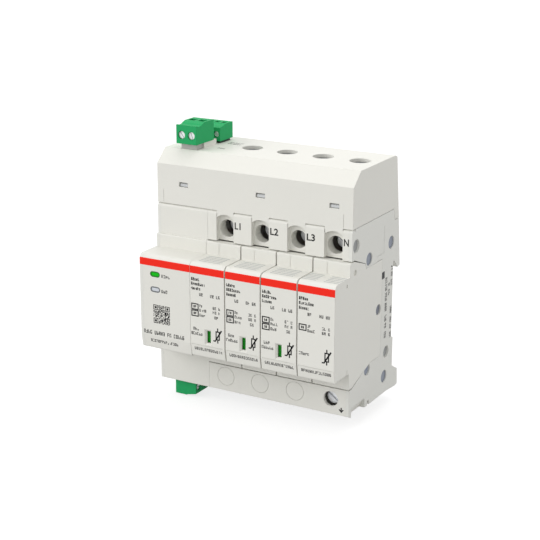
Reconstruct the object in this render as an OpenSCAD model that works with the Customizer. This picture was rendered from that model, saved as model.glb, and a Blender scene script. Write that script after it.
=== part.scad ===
// Pluggable surge protective device for a 35 mm mounting rail, with a monitoring unit.
// Four plug-in cartridges stand side by side in one base. The monitoring unit is the block at
// the left and the hood over the terminals. The origin is the middle of the rail's front face:
// +X to the right, +Y towards the wall, +Z up. All sizes are in millimetres.

/* [Overall] */
// Width of one pole
pole_pitch = 17.8; // [16.5:0.1:22]
// Width of the monitoring block at the left
unit_w = 26.4; // [24:0.1:34]
// From the rail's front face to the front of the nose
nose_reach = 57.8; // [55:0.1:70]
// From the rail's front face to the lower front face
body_reach = 42.6; // [42:0.1:44]
// Rail centre down to the front edge of the underside
base_drop = 42.0; // [41:0.1:51]
// Rail centre up to the top of the base
base_rise = 42.1; // [41.5:0.1:51]
// Height of the hood above the base
hood_h = 24.0; // [23.5:0.1:32]

/* [Nose] */
// Rail centre up to the top of the nose
nose_top = 22.15; // [21.5:0.05:23]
// Rail centre down to the underside of the nose
nose_bottom = 21.5; // [18.5:0.05:21.8]
// Radius of the nose's upper front edge
nose_r = 2.4; // [0.5:0.1:4]
// Radius of the nose's lower front edge
nose_low_r = 0.8; // [0.3:0.1:1.5]
// How far the foot of the nose leans back below the crease
nose_lean = 0.9; // [0.2:0.1:1.1]
// How far the shoulder and the label tabs stand back from the nose
shoulder_back = 13.95; // [10:0.05:16]
// Height of the shoulder's top above the nose's top
shoulder_h = 5.95; // [5:0.05:7]

/* [Walls] */
// Wall of the base and the unit
wall = 1.5; // [1:0.1:2]
// Thickness of the two side covers
cover_t = 1.6; // [1.2:0.1:2.5]
// Rib between two poles of the base
rib_t = 1.2; // [0.8:0.1:1.8]
// Wall of the hood
hood_wall = 1.6; // [1.2:0.1:2]
// Wall of a cartridge
cart_wall = 1.3; // [0.9:0.1:1.6]

/* [Clearances] */
// Between a cartridge and what it slides in
slide_gap = 0.25; // [0.15:0.05:0.5]
// Between two pieces that are fitted together
fit_gap = 0.15; // [0.1:0.05:0.3]
// Radial gap of a thread or pin that turns
turn_gap = 0.05; // [0.03:0.01:0.1]
// Width of the joint between two cartridges
cart_gap = 0.6; // [0.2:0.05:0.9]
// Height of the slit under the cartridges' lower lip
lip_gap = 0.8; // [0.3:0.05:1.2]

/* [Label tabs] */
// Width of a whole label tab
tab_w = 9.1; // [6:0.1:10]
// Depth of the recess between two tabs
recess_d = 2.5; // [1:0.1:3.5]
// Radius of a tab's top edge
tab_r = 1.5; // [0.3:0.1:1.8]

/* [Terminals] */
// Rail plane to the middle of the wire holes
wire_back = 18.0; // [17:0.1:20]
// Radius of the wire holes
wire_r = 4.7; // [3:0.1:5]
// Height of the upper terminal screws
screw_z = 34.2; // [34:0.1:36]
// Depth of the earth screw below the rail's centre
earth_z = 35.0; // [34:0.1:35.5]
// Radius of the screw hole in an upper recess
screw_hole_r = 4.0; // [3.6:0.1:4.2]
// Length of the collar behind that hole
collar_l = 4.8; // [2:0.1:5]
// Radius of the earth screw's hole
earth_hole_r = 3.5; // [3.3:0.05:3.7]
// Radius of a terminal screw's head
head_r = 3.2; // [2.9:0.05:3.3]
// Thickness of a terminal screw's head
head_t = 2.4; // [1.8:0.1:2.8]
// Radius of a terminal screw's thread
thread_r = 2.45; // [2:0.05:2.6]
// Open gap for the wire in a clamp cage
wire_gap = 6.6; // [5:0.1:7]
// Thickness of the line bar
bar_t = 1.5; // [1:0.1:1.8]

/* [Hood] */
// How far the hood's front slope runs back
slope_back = 6.75; // [3:0.05:9]
// Height of the hood's front slope
slope_h = 6.0; // [3:0.05:7]
// Radius of the arch over each screw hole
arch_r = 6.5; // [5.5:0.1:7.4]
// Width of a latch window
latch_w = 4.6; // [3:0.1:6]
// Height of a latch window
latch_h = 2.15; // [1.5:0.05:3]
// Height of the latch windows above the base
latch_rise = 8.5; // [7:0.1:10]

/* [Pluggable terminals] */
// Pole pitch of the two-way plugs
plug_pitch = 5.08; // [5:0.01:5.2]
// Pole pitch of the three-way plug
small_pitch = 3.5; // [3.4:0.01:3.81]
// Height of a two-way plug
plug_h = 9.3; // [9:0.1:11]
// Depth of a two-way plug, front to back
plug_d = 14.7; // [14:0.1:15.5]
// Height of the three-way plug and of the one below
small_h = 7.4; // [7:0.1:8.5]
// Depth of those two plugs, screw face to back
small_d = 11.1; // [10.5:0.1:11.5]
// Height of the three-way plug above the hood
rear_rise = 1.0; // [0.4:0.1:2]
// Height of the hood's step under the front plug
step_h = 2.6; // [1.5:0.1:4]

/* [Rail clip] */
// Width of the rail clip
clip_w = 12; // [9:0.1:15]
// Thickness of the rail clip
clip_t = 2.6; // [2:0.1:3]
// How far the clip can be pulled down
clip_travel = 3.5; // [2.5:0.1:4]

/* [Hidden] */

// Places along X
poles = 4;
width = poles * pole_pitch + unit_w;
right = width / 2;
left = -right;
seam = left + unit_w;
joint_gap = 0.1;
side_gap = 0.08;
function pole_x(i) = seam + (i + 0.5) * pole_pitch;
neutral = poles - 1;

// Places along Y
y_nose = -nose_reach;
y_face = -body_reach;
y_tab = y_nose + shoulder_back + 1.45;
y_shoulder = y_nose + shoulder_back;
y_recess = y_tab + recess_d;
y_hood = y_tab + 0.25;
y_wire = -wire_back;

// Places along Z
z_top = base_rise;
z_low = -base_drop;
z_shoulder = nose_top + shoulder_h;
z_tab = z_shoulder + 0.45;
z_lip = -29.0;
z_crease = -15.7;
unit_bottom = nose_bottom + 0.5;
z_hood = z_top + 0.2;
z_roof = z_top + hood_h + 0.2;

// The mounting rail
rail_h = 35;
rail_t = 1.0;
rail_top = rail_h / 2;
heel_z = -rail_top - 1.2;
heel_y = 1.8;

// The cartridge narrows towards the back, so it pulls straight out to the front
ramp_y = -29.2;
ramp_z = 24.3;
cart_top = 21.8;
low_y = -30.4;
low_z = -25.8;
cart_low = -23.4;
cart_back = -11.6;
pocket_back = cart_back + 0.2;

// Contacts
blade_z = 16;
blade_h = 6;
blade_t = 0.8;
blade_tip = -4.4;
spring_t = 0.8;
spring_gap = 0.1;
spring_front = pocket_back + wall + 0.1;
spring_back = blade_tip + 0.4;
run_y = -8.0;

// Clamp places, from the wire outwards
bar_back = y_wire - wire_gap / 2;
bar_front = bar_back - bar_t;
screw_tip = bar_front - 0.2;
cage_t = 1.8;
cage_front_t = 2.0;
cage_w = 10;
cage_h = 9;
cage_open = screw_tip - 0.1;
cage_rear = y_wire + wire_gap / 2;
head_y = y_recess + 7.4;
earth_head_y = y_face + 3.0;
cage_travel = 4.6;

// Windows and flags
window_w = 1.9;
window_h = 5.6;
window_z = -11.4;
frame_w = 3.5;
frame_h = 7.2;
frame_d = 0.8;
flag_travel = 5.6;
flag_t = 1.6;

// Side holes: [y, z, radius, depth]
rivet_holes = [[-25.4, 25.4], [-2.8, 27.4], [-6.9, -35.1]];
rivet_r = 1.5;
rivet_head_r = 2.8;
rivet_head_t = 0.5;
blind_holes = [[-38.6, 34.5, 3.0], [-5.3, -23.6, 2.8], [-25.1, -25.5, 2.9]];

// Recess in the right side's lower edge, with the base's own wall behind it
nick_y0 = y_face + 2.3;
nick_y1 = y_face + 15.7;
nick_z = z_low + 3.3;
nick_wall = 1.0;

// Plugs
unit_mid = left + 12.15;
front_plug_y = y_face + 5.9;
rear_plug_y = y_face + 25.3;
front_plug_z = z_roof + step_h;
rear_plug_z = z_roof + rear_rise;

// The plug below hangs with its screws to the right: its right face and its middle
bottom_plug_x = unit_mid + 4.85;
bottom_plug_y = y_face + 8.25;
bottom_plug_z = z_low - 0.5;
neck_depth = 6.2;
header_wall = 0.8;
plug_screw_r = 1.7;
small_screw_r = 1.3;
board_t = 1.6;
hood_board_z = z_top + 15.9;

// A flat outline in Y and Z, carried along X from x0 to x1
module along_x(x0, x1) translate([x0, 0, 0]) rotate([90, 0, 90]) linear_extrude(x1 - x0) children();

// A flat outline in X and Z, carried along Y from y0 to y1
module along_y(y0, y1) translate([0, y1, 0]) rotate([90, 0, 0]) linear_extrude(y1 - y0) children();

// A block between two corners
module block(a, b) translate(a) cube(b - a);

// Straight round rods along each axis
module rod_x(y, z, r, x0, x1)
  translate([x0, y, z]) rotate([0, 90, 0]) cylinder(r = r, h = x1 - x0, $fn = 48);
module rod_y(x, z, r, y0, y1)
  translate([x, y0, z]) rotate([-90, 0, 0]) cylinder(r = r, h = y1 - y0, $fn = 48);
module rod_z(x, y, r, z0, z1)
  translate([x, y, z0]) cylinder(r = r, h = z1 - z0, $fn = 48);

// Points of an arc about a centre, from one angle to another
function arc(c, r, from, to, n = 6) =
  [for (k = [0:n]) c + r * [cos(from + (to - from) * k / n), sin(from + (to - from) * k / n)]];

// The rear edge leans out towards the rail hook
hook = [7.2, 14.4];
function rear_edge(z) = hook[0] - (z - hook[1]) * 0.11;
skirt_z = z_top - 5.2;

// Outline of the back that the base, its end cover and the unit share, from top to underside
function back_outline() = concat(
  [[-1.0, z_top], [0.3, skirt_z], [rear_edge(skirt_z), skirt_z], hook,
   [hook[0] - 2.3, hook[1] - 0.5], [rail_t + 0.3, rail_top + 0.3], [0, rail_top + 0.3],
   [0, heel_z], [heel_y, heel_z], [heel_y, z_low + 9.3], [7.7, z_low + 6.0],
   [8.2, z_low - 1.7], [5.9, z_low - 2.1], [-3.9, z_low - 1.2], [y_face + 2.1, z_low - 1.0],
   [y_face, z_low]]);

// Inner outline of the same back, one wall in
function back_cavity() =
  [[-2.1, z_top - wall], [-1.0, skirt_z - wall], [rear_edge(skirt_z) - wall, skirt_z - wall],
   [hook[0] - wall - 0.6, hook[1] + 5], [-wall, hook[1] + 5], [-wall, heel_z - wall],
   [-0.7, heel_z - wall], [-0.7, z_low + 0.5], [y_face + 2.7, z_low + 0.5]];

// The pocket that the cartridges slide in, wider than they are by g, with its back wall at y
function pocket_outline(g, y) =
  [[y_face, z_lip - lip_gap], [y_face + 2.2, z_lip - lip_gap], [low_y + 0.1, low_z - g],
   [low_y + 8.3, cart_low - g], [y, cart_low - g], [y, cart_top + g],
   [ramp_y + 1.2, cart_top + g], [ramp_y + 0.2, ramp_z + g]];

module base_outline(g, y)
  polygon(concat([[y_recess, z_tab], [y_recess, z_top]], back_outline(), pocket_outline(g, y)));

// One pole's hollow: over the pocket, behind it and under it
module base_cavity() polygon(concat(
  [[y_recess + wall, z_tab + 1.1], [y_recess + wall, z_top - wall]], back_cavity(),
  [[y_face + wall, z_low + 1.1], [y_face + wall, z_lip - lip_gap - wall],
   [y_face + 2.2, z_lip - lip_gap - wall], [low_y + 0.6, low_z - slide_gap - wall],
   [low_y + 8.6, cart_low - slide_gap - wall], [pocket_back + wall, cart_low - slide_gap - wall],
   [pocket_back + wall, cart_top + slide_gap + wall], [ramp_y + 2.3, cart_top + slide_gap + wall],
   [ramp_y + 1.3, ramp_z + slide_gap + wall]]));

// Outline of a label tab with its rounded top edge
module tab_outline() polygon(concat([[y_recess + 0.5, z_tab], [y_tab, z_tab]],
  arc([y_tab + tab_r, z_top - tab_r], tab_r, 180, 90), [[y_recess + 0.5, z_top]]));

function tab_from(i) = max(seam + i * pole_pitch - tab_w / 2, seam);
function tab_to(i) = min(seam + i * pole_pitch + tab_w / 2, right);

// Inner faces of one pole's hollow
function pole_from(i) = seam + i * pole_pitch + (i == 0 ? wall : rib_t / 2);
function pole_to(i) =
  i == neutral ? right - cover_t + 0.01 : seam + (i + 1) * pole_pitch - rib_t / 2;

// Slot in the pocket's back wall for one contact blade
module blade_slot(i, z) block([pole_x(i) - 1.3, pocket_back - 1, z - blade_h / 2 - 0.5],
  [pole_x(i) + 1.3, pocket_back + wall + 1, z + blade_h / 2 + 0.5]);

module base_housing() color("gainsboro") difference() {
  union() {
    difference() {
      union() {
        along_x(seam, right - cover_t) base_outline(slide_gap, pocket_back);
        for (i = [0:poles]) along_x(tab_from(i), i == poles ? right - cover_t : tab_to(i)) tab_outline();
      }
      for (i = [0:neutral]) along_x(pole_from(i), pole_to(i)) base_cavity();
    }
    for (i = [0:neutral])
      rod_y(pole_x(i), screw_z, screw_hole_r + 1.2, y_recess + 0.5, y_recess + collar_l);
    block([right - cover_t - 2 * nick_wall, nick_y0 - 0.6, z_low - 0.2],
      [right - cover_t, nick_y1 + 0.6, nick_z + 0.8]);
  }
  block([right - cover_t - nick_wall, nick_y0, z_low - 3], [right, nick_y1, z_low + 0.9]);
  for (i = [0:neutral]) {
    rod_y(pole_x(i), screw_z, screw_hole_r, y_recess - 1, y_recess + collar_l + 1);
    rod_z(pole_x(i), y_wire, wire_r + 0.3, z_top - wall - 1, z_top + 1);
    blade_slot(i, blade_z);
    blade_slot(i, -blade_z);
  }
  rod_y(pole_x(neutral), -earth_z, earth_hole_r, y_face - 1, y_face + wall + 1);
  rod_z(pole_x(neutral), y_wire, wire_r, z_low - 3, z_low + 1);
  for (i = [0:neutral - 1]) knock_out(i);
  for (h = rivet_holes) rod_x(h[0], h[1], rivet_r + turn_gap, seam - 1, right);
  for (h = rivet_holes) rod_x(h[0], h[1], rivet_head_r + fit_gap, seam - 1, seam + rivet_head_t + 0.1);
  link_slot();
  clip_channel();
}

knock_r = 4.35;

// Ring groove that marks an unused terminal hole in the lower front
module knock_out(i) difference() {
  rod_y(pole_x(i), -earth_z, knock_r + 0.07, y_face - 1, y_face + 0.2);
  rod_y(pole_x(i), -earth_z, knock_r - 0.07, y_face - 2, y_face + 1);
}

// Fine lines in the right side: [y0, z0, y1, z1]
side_lines = [[-17.5, 24.25, -10.3, 24.45], [-10.5, 24.25, -10.3, 36.8],
  [-17.6, cart_top + 0.05, -12.4, cart_top + 0.3]];

// The label tabs end on the cover's side, flush with its outer face
module end_cover() color("silver") difference() {
  union() {
    along_x(right - cover_t, right) base_outline(side_gap, cart_back + side_gap);
    along_x(right - cover_t, right) tab_outline();
  }
  for (h = blind_holes) rod_x(h[0], h[1], h[2], right - 1.0, right + 1);
  for (h = rivet_holes) {
    rod_x(h[0], h[1], rivet_head_r + fit_gap, right - 1.0, right + 1);
    rod_x(h[0], h[1], rivet_r + turn_gap, right - cover_t - 1, right);
  }
  block([right - cover_t - 1, nick_y0, z_low - 3], [right + 1, nick_y1, nick_z]);
  block([right - cover_t - 1, nick_y1 + 2.8, z_low - 3], [right + 1, nick_y1 + 4.6, z_low + 0.9]);
  rod_x(y_recess - 0.2, z_top - 0.3, 0.55, right - 1.0, right + 1);
  for (n = side_lines) block([right - 0.15, n[0], n[1]], [right + 1, n[2], n[3]]);
}

// Hollow rivets with a head at each end
module base_rivets() color("lightslategray") for (h = rivet_holes) {
  rod_x(h[0], h[1], rivet_r, seam + 0.1, right - 1.0 + rivet_head_t);
  rod_x(h[0], h[1], rivet_head_r, seam + 0.1, seam + 0.1 + rivet_head_t);
  rod_x(h[0], h[1], rivet_head_r, right - 1.0, right - 1.0 + rivet_head_t);
}

// Contact spring: a U of sheet metal round the blade, its web beyond the blade's outer edge
module contact_spring(x, z, out) {
  half = blade_t / 2 + spring_gap;
  web = z + out * (blade_h / 2 + 0.3);
  along_y(spring_front, spring_back) polygon([
    for (p = [[-half - spring_t, -blade_h], [-half, -blade_h], [-half, 0], [half, 0],
      [half, -blade_h], [half + spring_t, -blade_h], [half + spring_t, spring_t],
      [-half - spring_t, spring_t]]) [x + p[0], web + out * p[1]]]);
}

bar_w = 7;
top_run = cart_top + slide_gap + wall;
low_run = cart_low - slide_gap - wall - 0.45;
spring_web = blade_z + blade_h / 2 + 0.3;

// Line bar: up in the clamp cage, back over the pocket and down to its contact spring
module line_bar(i) {
  along_x(pole_x(i) - bar_w / 2, pole_x(i) + bar_w / 2) polygon([
    [bar_front, screw_z + 4.2], [bar_back, screw_z + 4.2], [bar_back, top_run + bar_t],
    [run_y + 1.2, top_run + bar_t], [run_y + 1.2, spring_web], [run_y, spring_web],
    [run_y, top_run], [bar_front, top_run]]);
  contact_spring(pole_x(i), blade_z, 1);
}

module line_bars() color("peru") for (i = [0:neutral]) line_bar(i);

link_y = -wall - 1.0;
link_t = 0.9;

// Link bar: joins the lower contacts of the line poles and rises to the neutral terminal's bar
module link_bar() color("peru") {
  run_low = -spring_web - 4.2;
  run_top = -spring_web;
  block([pole_x(0) - 4, link_y, run_low], [pole_x(neutral) + bar_w / 2, link_y + link_t, run_top]);
  block([pole_x(neutral) - bar_w / 2, link_y, run_low],
    [pole_x(neutral) + bar_w / 2, link_y + link_t, spring_web + spring_t]);
  block([pole_x(neutral) - 2, spring_back, spring_web],
    [pole_x(neutral) + 2, link_y + link_t, spring_web + spring_t]);
  for (i = [0:neutral - 1]) {
    contact_spring(pole_x(i), -blade_z, -1);
    block([pole_x(i) - 2, spring_front, -spring_web - spring_t],
      [pole_x(i) + 2, link_y + link_t, -spring_web]);
  }
}

// Way through the ribs for the link bar
module link_slot() block([pole_x(0) - 4.3, link_y - 0.3, -spring_web - 4.5],
  [pole_x(neutral), link_y + link_t + 0.1, -spring_web + 0.3]);

// Earth bar: from the neutral pole's lower contact down into the earth clamp cage
module earth_bar() color("peru") {
  along_x(pole_x(neutral) - bar_w / 2, pole_x(neutral) + bar_w / 2) polygon([
    [bar_front, -earth_z - 4.0], [bar_back, -earth_z - 4.0], [bar_back, low_run - bar_t],
    [run_y + 1.2, low_run - bar_t], [run_y + 1.2, -spring_web], [run_y, -spring_web],
    [run_y, low_run], [bar_front, low_run]]);
  contact_spring(pole_x(neutral), -blade_z, -1);
}

// Clamp cage: a box open to the wire, with the screw's thread in its front wall
module cage(x, z) color("silver") difference() {
  block([x - cage_w / 2, cage_open - cage_front_t, z - cage_h / 2],
    [x + cage_w / 2, cage_rear + cage_t, z + cage_h / 2]);
  block([x - cage_w / 2 + 1.2, cage_open, z - cage_h / 2 - 1],
    [x + cage_w / 2 - 1.2, cage_rear, z + cage_h / 2 + 1]);
  rod_y(x, z, thread_r + turn_gap, cage_open - cage_front_t - 1, cage_open + 1);
}

// Slotted clamp screw with a bevelled head
module clamp_screw(x, z, head) color("whitesmoke") difference() {
  union() {
    rod_y(x, z, head_r, head + 0.3, head + head_t);
    translate([x, head, z]) rotate([-90, 0, 0]) cylinder(r1 = head_r - 0.3, r2 = head_r, h = 0.3, $fn = 48);
    rod_y(x, z, thread_r, head + head_t, screw_tip);
  }
  translate([x, head, z]) rotate([0, 35, 0]) block([-head_r - 1, -1, -0.5], [head_r + 1, 1.1, 0.5]);
}

// Front of the nose, from its underside to its top; its foot leans back below the crease
function nose_points(bottom) = concat(
  arc([y_nose + nose_lean + nose_low_r, -bottom + nose_low_r], nose_low_r, 270, 190, 4),
  [[y_nose, z_crease]], arc([y_nose + nose_r, nose_top - nose_r], nose_r, 180, 90),
  [[y_shoulder, nose_top]], arc([y_shoulder + 0.6, z_shoulder - 0.6], 0.6, 180, 90, 3));

// Outline of a cartridge, from the lower lip round the nose to the back
module cart_outline() polygon(concat(
  [[y_face - 0.8, z_lip], [y_face - 0.8, -nose_bottom]], nose_points(nose_bottom),
  [[y_recess - 0.2, z_shoulder], [ramp_y, ramp_z], [ramp_y + 0.9, cart_top],
   [cart_back, cart_top], [cart_back, cart_low], [low_y + 8.2, cart_low],
   [low_y, low_z], [y_face + 2.1, z_lip]]));

// Inside of a cartridge, open at the back
module cart_cavity() polygon([
  [y_face + 0.5, z_lip + cart_wall], [y_face + 0.5, -nose_bottom + cart_wall],
  [y_nose + cart_wall + 0.2, -nose_bottom + cart_wall],
  [y_nose + cart_wall, z_crease], [y_nose + cart_wall, nose_top - nose_r],
  [y_nose + nose_r, nose_top - cart_wall], [y_shoulder + cart_wall, nose_top - cart_wall],
  [y_shoulder + cart_wall, z_shoulder - cart_wall - 0.3], [y_recess - 1.6, z_shoulder - cart_wall - 0.3],
  [ramp_y - 1.0, ramp_z - cart_wall], [ramp_y - 0.1, cart_top - cart_wall],
  [cart_back + 1, cart_top - cart_wall], [cart_back + 1, cart_low + cart_wall],
  [low_y + 8.0, cart_low + cart_wall], [low_y - 0.2, low_z + cart_wall]]);

function cart_from(i) = seam + i * pole_pitch + (i == 0 ? side_gap : cart_gap / 2);
function cart_to(i) = seam + (i + 1) * pole_pitch - (i == neutral ? 0 : cart_gap / 2);

// Pull-out grip: teeth under the nose and two fields of fine grooves on top
module grip(i) {
  for (k = [0:5]) along_x(cart_from(i) - 1, cart_to(i) + 1)
    polygon([for (p = [[0, -0.1], [0.65, 0.8], [1.3, -0.1]])
      [y_nose + 2.6 + 1.6 * k + p[0], -nose_bottom + p[1]]]);
  for (k = [0:4], side = [0, 1]) {
    x0 = side == 0 ? cart_from(i) + 0.9 : pole_x(i) + 3.2;
    x1 = side == 0 ? pole_x(i) - 3.2 : cart_to(i) - 0.9;
    block([x0, y_nose + 4.6 + 1.5 * k, nose_top - 0.3], [x1, y_nose + 4.9 + 1.5 * k, nose_top + 1]);
  }
}

// Window of a line pole, with a bevelled frame round it
module window(i) {
  x = pole_x(i) + 0.2;
  block([x - window_w / 2, y_nose - 1, window_z - window_h / 2],
    [x + window_w / 2, y_nose + cart_wall + 1, window_z + window_h / 2]);
  intersection() {
    translate([0, 0, window_z - frame_h]) linear_extrude(2 * frame_h)
      polygon([for (p = frame_points(frame_w / 2, window_w / 2)) [x + p[0], p[1]]]);
    along_x(x - frame_w, x + frame_w)
      polygon([for (p = frame_points(frame_h / 2, window_h / 2)) [p[1], window_z + p[0]]]);
  }
}

// Section of the bevelled frame: half widths at the face and at its bottom, paired with Y
function frame_points(face, bottom) = [[-face, y_nose - 1], [face, y_nose - 1], [face, y_nose],
  [bottom, y_nose + frame_d], [-bottom, y_nose + frame_d], [-face, y_nose]];

// Crease over the foot of the nose, and a fine line down the shoulder
module cart_lines(i) {
  block([cart_from(i) + 0.6, y_nose - 1, z_crease - 0.05], [cart_to(i) - 0.6, y_nose + 0.18, z_crease + 0.2]);
  block([cart_from(i) + 6.5, y_shoulder - 1, nose_top + 0.1],
    [cart_from(i) + 6.7, y_shoulder + 0.12, z_shoulder + 1]);
}

module cartridge(i) color("whitesmoke") difference() {
  along_x(cart_from(i), cart_to(i)) cart_outline();
  along_x(cart_from(i) + cart_wall, cart_to(i) - cart_wall) cart_cavity();
  grip(i);
  cart_lines(i);
  if (i < neutral) window(i);
  rod_x(lug_y, lug_z, lug_r, cart_from(i) - 1, cart_to(i) + 1);
  rod_x(-39.1, 22.9, 1.4, cart_to(i) - 0.7, cart_to(i) + 1);
  block([cart_to(i) - 0.7, y_shoulder - 3.2, nose_top - 4.0],
    [cart_to(i) + 1, y_shoulder - 2.3, nose_top - 2.4]);
  block([cart_to(i) - 0.9, y_nose + 12.3, -nose_bottom - 1],
    [cart_to(i) + 1, y_nose + 12.7, -nose_bottom + 2.4]);
}

plate_t = 2.4;
lug_y = cart_back - 3.1;
lug_z = -0.8;
lug_r = 2.5;

// Back plate: closes the cartridge, held by a round lug in each side wall
module back_plate(i) color("lightgray") difference() {
  union() {
    block([cart_from(i) + cart_wall + fit_gap, cart_back - plate_t, cart_low + cart_wall + fit_gap],
      [cart_to(i) - cart_wall - fit_gap, cart_back - 0.2, cart_top - cart_wall - fit_gap]);
    rod_x(lug_y, lug_z, lug_r - fit_gap, cart_from(i) + 0.6, cart_to(i) - 0.6);
    for (s = [-1, 1]) block([pole_x(i) - 3, cart_back - plate_t - 3, s * blade_z - blade_h / 2 - 1.1],
      [pole_x(i) + 3, cart_back - plate_t + 1, s * blade_z + blade_h / 2 + 1.1]);
  }
  for (s = [-1, 1]) block([pole_x(i) - blade_t / 2 - turn_gap, -30, s * blade_z - blade_h / 2 - turn_gap],
    [pole_x(i) + blade_t / 2 + turn_gap, 0, s * blade_z + blade_h / 2 + turn_gap]);
}

strap_front = -22.6;
blade_foot = cart_back - plate_t - 3.2;

// Contact blades, each with the strap that carries the current on inside the cartridge
module blades(i) color("peru") for (s = [-1, 1]) {
  block([pole_x(i) - blade_t / 2, blade_foot - 0.1, s * blade_z - blade_h / 2],
    [pole_x(i) + blade_t / 2, blade_tip, s * blade_z + blade_h / 2]);
  along_x(pole_x(i) - blade_t / 2, pole_x(i) + blade_t / 2)
    polygon([for (p = [[blade_foot, -blade_h / 2 - 0.6], [blade_foot, blade_h / 2 + 0.6],
      [strap_front - 2.4, blade_h / 2 + 0.6], [strap_front - 2.4, -blade_h / 2 - 3.4],
      [strap_front, -blade_h / 2 - 3.4], [strap_front, -blade_h / 2 - 0.6]])
      [p[0], s * (blade_z + p[1])]]);
}

varistor_t = 6.2;

// Varistor block in its coating, its rim rounded, with a solder boss for each strap
module varistor(i) color("steelblue") {
  x1 = pole_x(i) - blade_t / 2 - 0.1;
  difference() {
    block([x1 - varistor_t, -52, -16.5], [x1, -19.5, 16.5]);
    for (y = [-52, -19.5], z = [-16.5, 16.5]) translate([0, y, z]) rotate([0, 90, 0]) rotate([0, 0, 45])
      translate([-2, -2, x1 - varistor_t - 1]) cube([4, 4, varistor_t + 2]);
  }
}

// Gas discharge tube: ceramic body between two metal end caps
module gas_tube() color("ivory") {
  x = pole_x(neutral);
  rod_z(x, strap_front - 1.2, 5.6, -7.2, 7.2);
  for (s = [-1, 1]) rod_z(x, strap_front - 1.2, 6.2, s < 0 ? -9.4 : 7.2, s < 0 ? -7.2 : 9.4);
}

// Spring slider with the two-colour flag behind the window and its trip arm along the varistor
module flag(i) color("green") {
  x = pole_x(i) + 0.2;
  y = y_nose + cart_wall + 0.3;
  low = window_z - window_h / 2 + 0.1;
  block([x - 1.6, y, low], [x + 1.6, y + flag_t, low + 2 * window_h + 0.4]);
  block([pole_x(i) + 0.4, y + flag_t - 0.1, low + window_h + 1.6], [x + 1.6, -33, low + window_h + 4.0]);
  block([pole_x(i) + 0.4, -40, low + window_h - 2.2], [pole_x(i) + 1.2, -33, low + window_h + 1.7]);
}

// Channel for the rail clip in the back and foot of the base
clip_x = pole_x(2) - pole_pitch / 2;
clip_y = 1.2;
clip_gap = 0.3;
module clip_channel() {
  block([clip_x - clip_w / 2 - clip_gap, clip_y - 0.2, z_low - 4],
    [clip_x + clip_w / 2 + clip_gap, clip_y + clip_t + clip_gap, heel_z + 1]);
  block([clip_x - clip_w / 2 - clip_gap, clip_y - 0.2, z_low + 8.5],
    [clip_x + clip_w / 2 + clip_gap, 12, heel_z + 1]);
  for (s = [-1, 1]) block([clip_x + s * (clip_w / 2 + 2.2) - 2.4, clip_y - 0.2, z_low + 8.5],
    [clip_x + s * (clip_w / 2 + 2.2) + 2.4, 12, heel_z - 1.5]);
}

// Rail clip: bevelled lip behind the rail, spring legs at its sides and a pull tab below
module rail_clip() color("dimgray") difference() {
  union() {
    along_x(clip_x - clip_w / 2, clip_x + clip_w / 2) polygon([
      [clip_y, z_low - 5.6], [clip_y + clip_t, z_low - 5.6], [clip_y + clip_t, -rail_top + 1.4],
      [clip_y + 1.2, -rail_top + 2.6], [clip_y, -rail_top + 1.4]]);
    for (s = [-1, 1]) {
      block([clip_x + s * (clip_w / 2 + 1.3) - 1.4, clip_y + 0.2, heel_z - 4.4],
        [clip_x + s * (clip_w / 2 + 1.3) + 1.4, clip_y + clip_t - 0.2, heel_z - 3.2]);
      block([clip_x + s * (clip_w / 2 + 2.3) - 0.5, clip_y + 0.2, z_low + 9.2 + clip_travel],
        [clip_x + s * (clip_w / 2 + 2.3) + 0.5, clip_y + clip_t - 0.2, heel_z - 3.3]);
    }
  }
  block([clip_x - 3, clip_y - 1, z_low - 4.2], [clip_x + 3, clip_y + clip_t + 1, z_low - 2.4]);
}

// Outline of the monitoring unit's block
module unit_outline() polygon(concat([[y_face, -unit_bottom]], nose_points(unit_bottom),
  [[y_tab, z_shoulder]], arc([y_tab + tab_r, z_top - tab_r], tab_r, 180, 90), back_outline()));

module unit_cavity() polygon(concat(
  [[y_face + wall, -unit_bottom + wall], [y_nose + nose_lean + wall, -unit_bottom + wall],
   [y_nose + wall, z_crease], [y_nose + wall, nose_top - nose_r], [y_nose + nose_r, nose_top - wall],
   [y_shoulder + wall, nose_top - wall], [y_shoulder + wall, z_shoulder - wall],
   [y_tab + wall, z_shoulder - wall], [y_tab + wall, z_top - wall]],
  back_cavity(), [[y_face + wall, z_low + 1.1]]));

light_w = 4.4;
light_h = 1.8;
light_rim = 0.2;
light_x = left + 8.05;
light_z = [13.5, 6.4];

// Two-way plug and header sizes
plug_w = 2 * plug_pitch + 0.34;
header_w = 8.0;
header_d = 12.6;
small_w = 3 * small_pitch + 0.9;
small_header_w = 9.8;
small_header_d = 8.9;

// From a plug's screw face to the header behind it
front_setback = 2.2;
rear_setback = 1.1;
bottom_setback = 0.85;

// An oblong with round ends, carried along Y
module oblong(x, z, w, h, y0, y1) along_y(y0, y1) polygon(concat(
  arc([x + (w - h) / 2, z], h / 2, -90, 90, 8), arc([x - (w - h) / 2, z], h / 2, 90, 270, 8)));

module unit_housing() color("gainsboro") difference() {
  along_x(left + cover_t, seam - joint_gap / 2) unit_outline();
  along_x(left + cover_t - 0.01, seam - joint_gap - wall) unit_cavity();
  for (z = light_z) oblong(light_x, z, light_w + 2 * light_rim, light_h + 2 * light_rim,
    y_nose - 1, y_nose + wall + 1);
  block([bottom_plug_x - small_d - 0.3, bottom_plug_y - plug_w / 2 - 0.3, z_low - 4],
    [bottom_plug_x + 0.3, bottom_plug_y + plug_w / 2 + 0.3, z_low + 1.2]);
  block([left + 6, -32, z_top - wall - 1], [seam - 5, -10, z_top + 1]);
}

module unit_cover() color("silver") along_x(left, left + cover_t) unit_outline();

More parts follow.
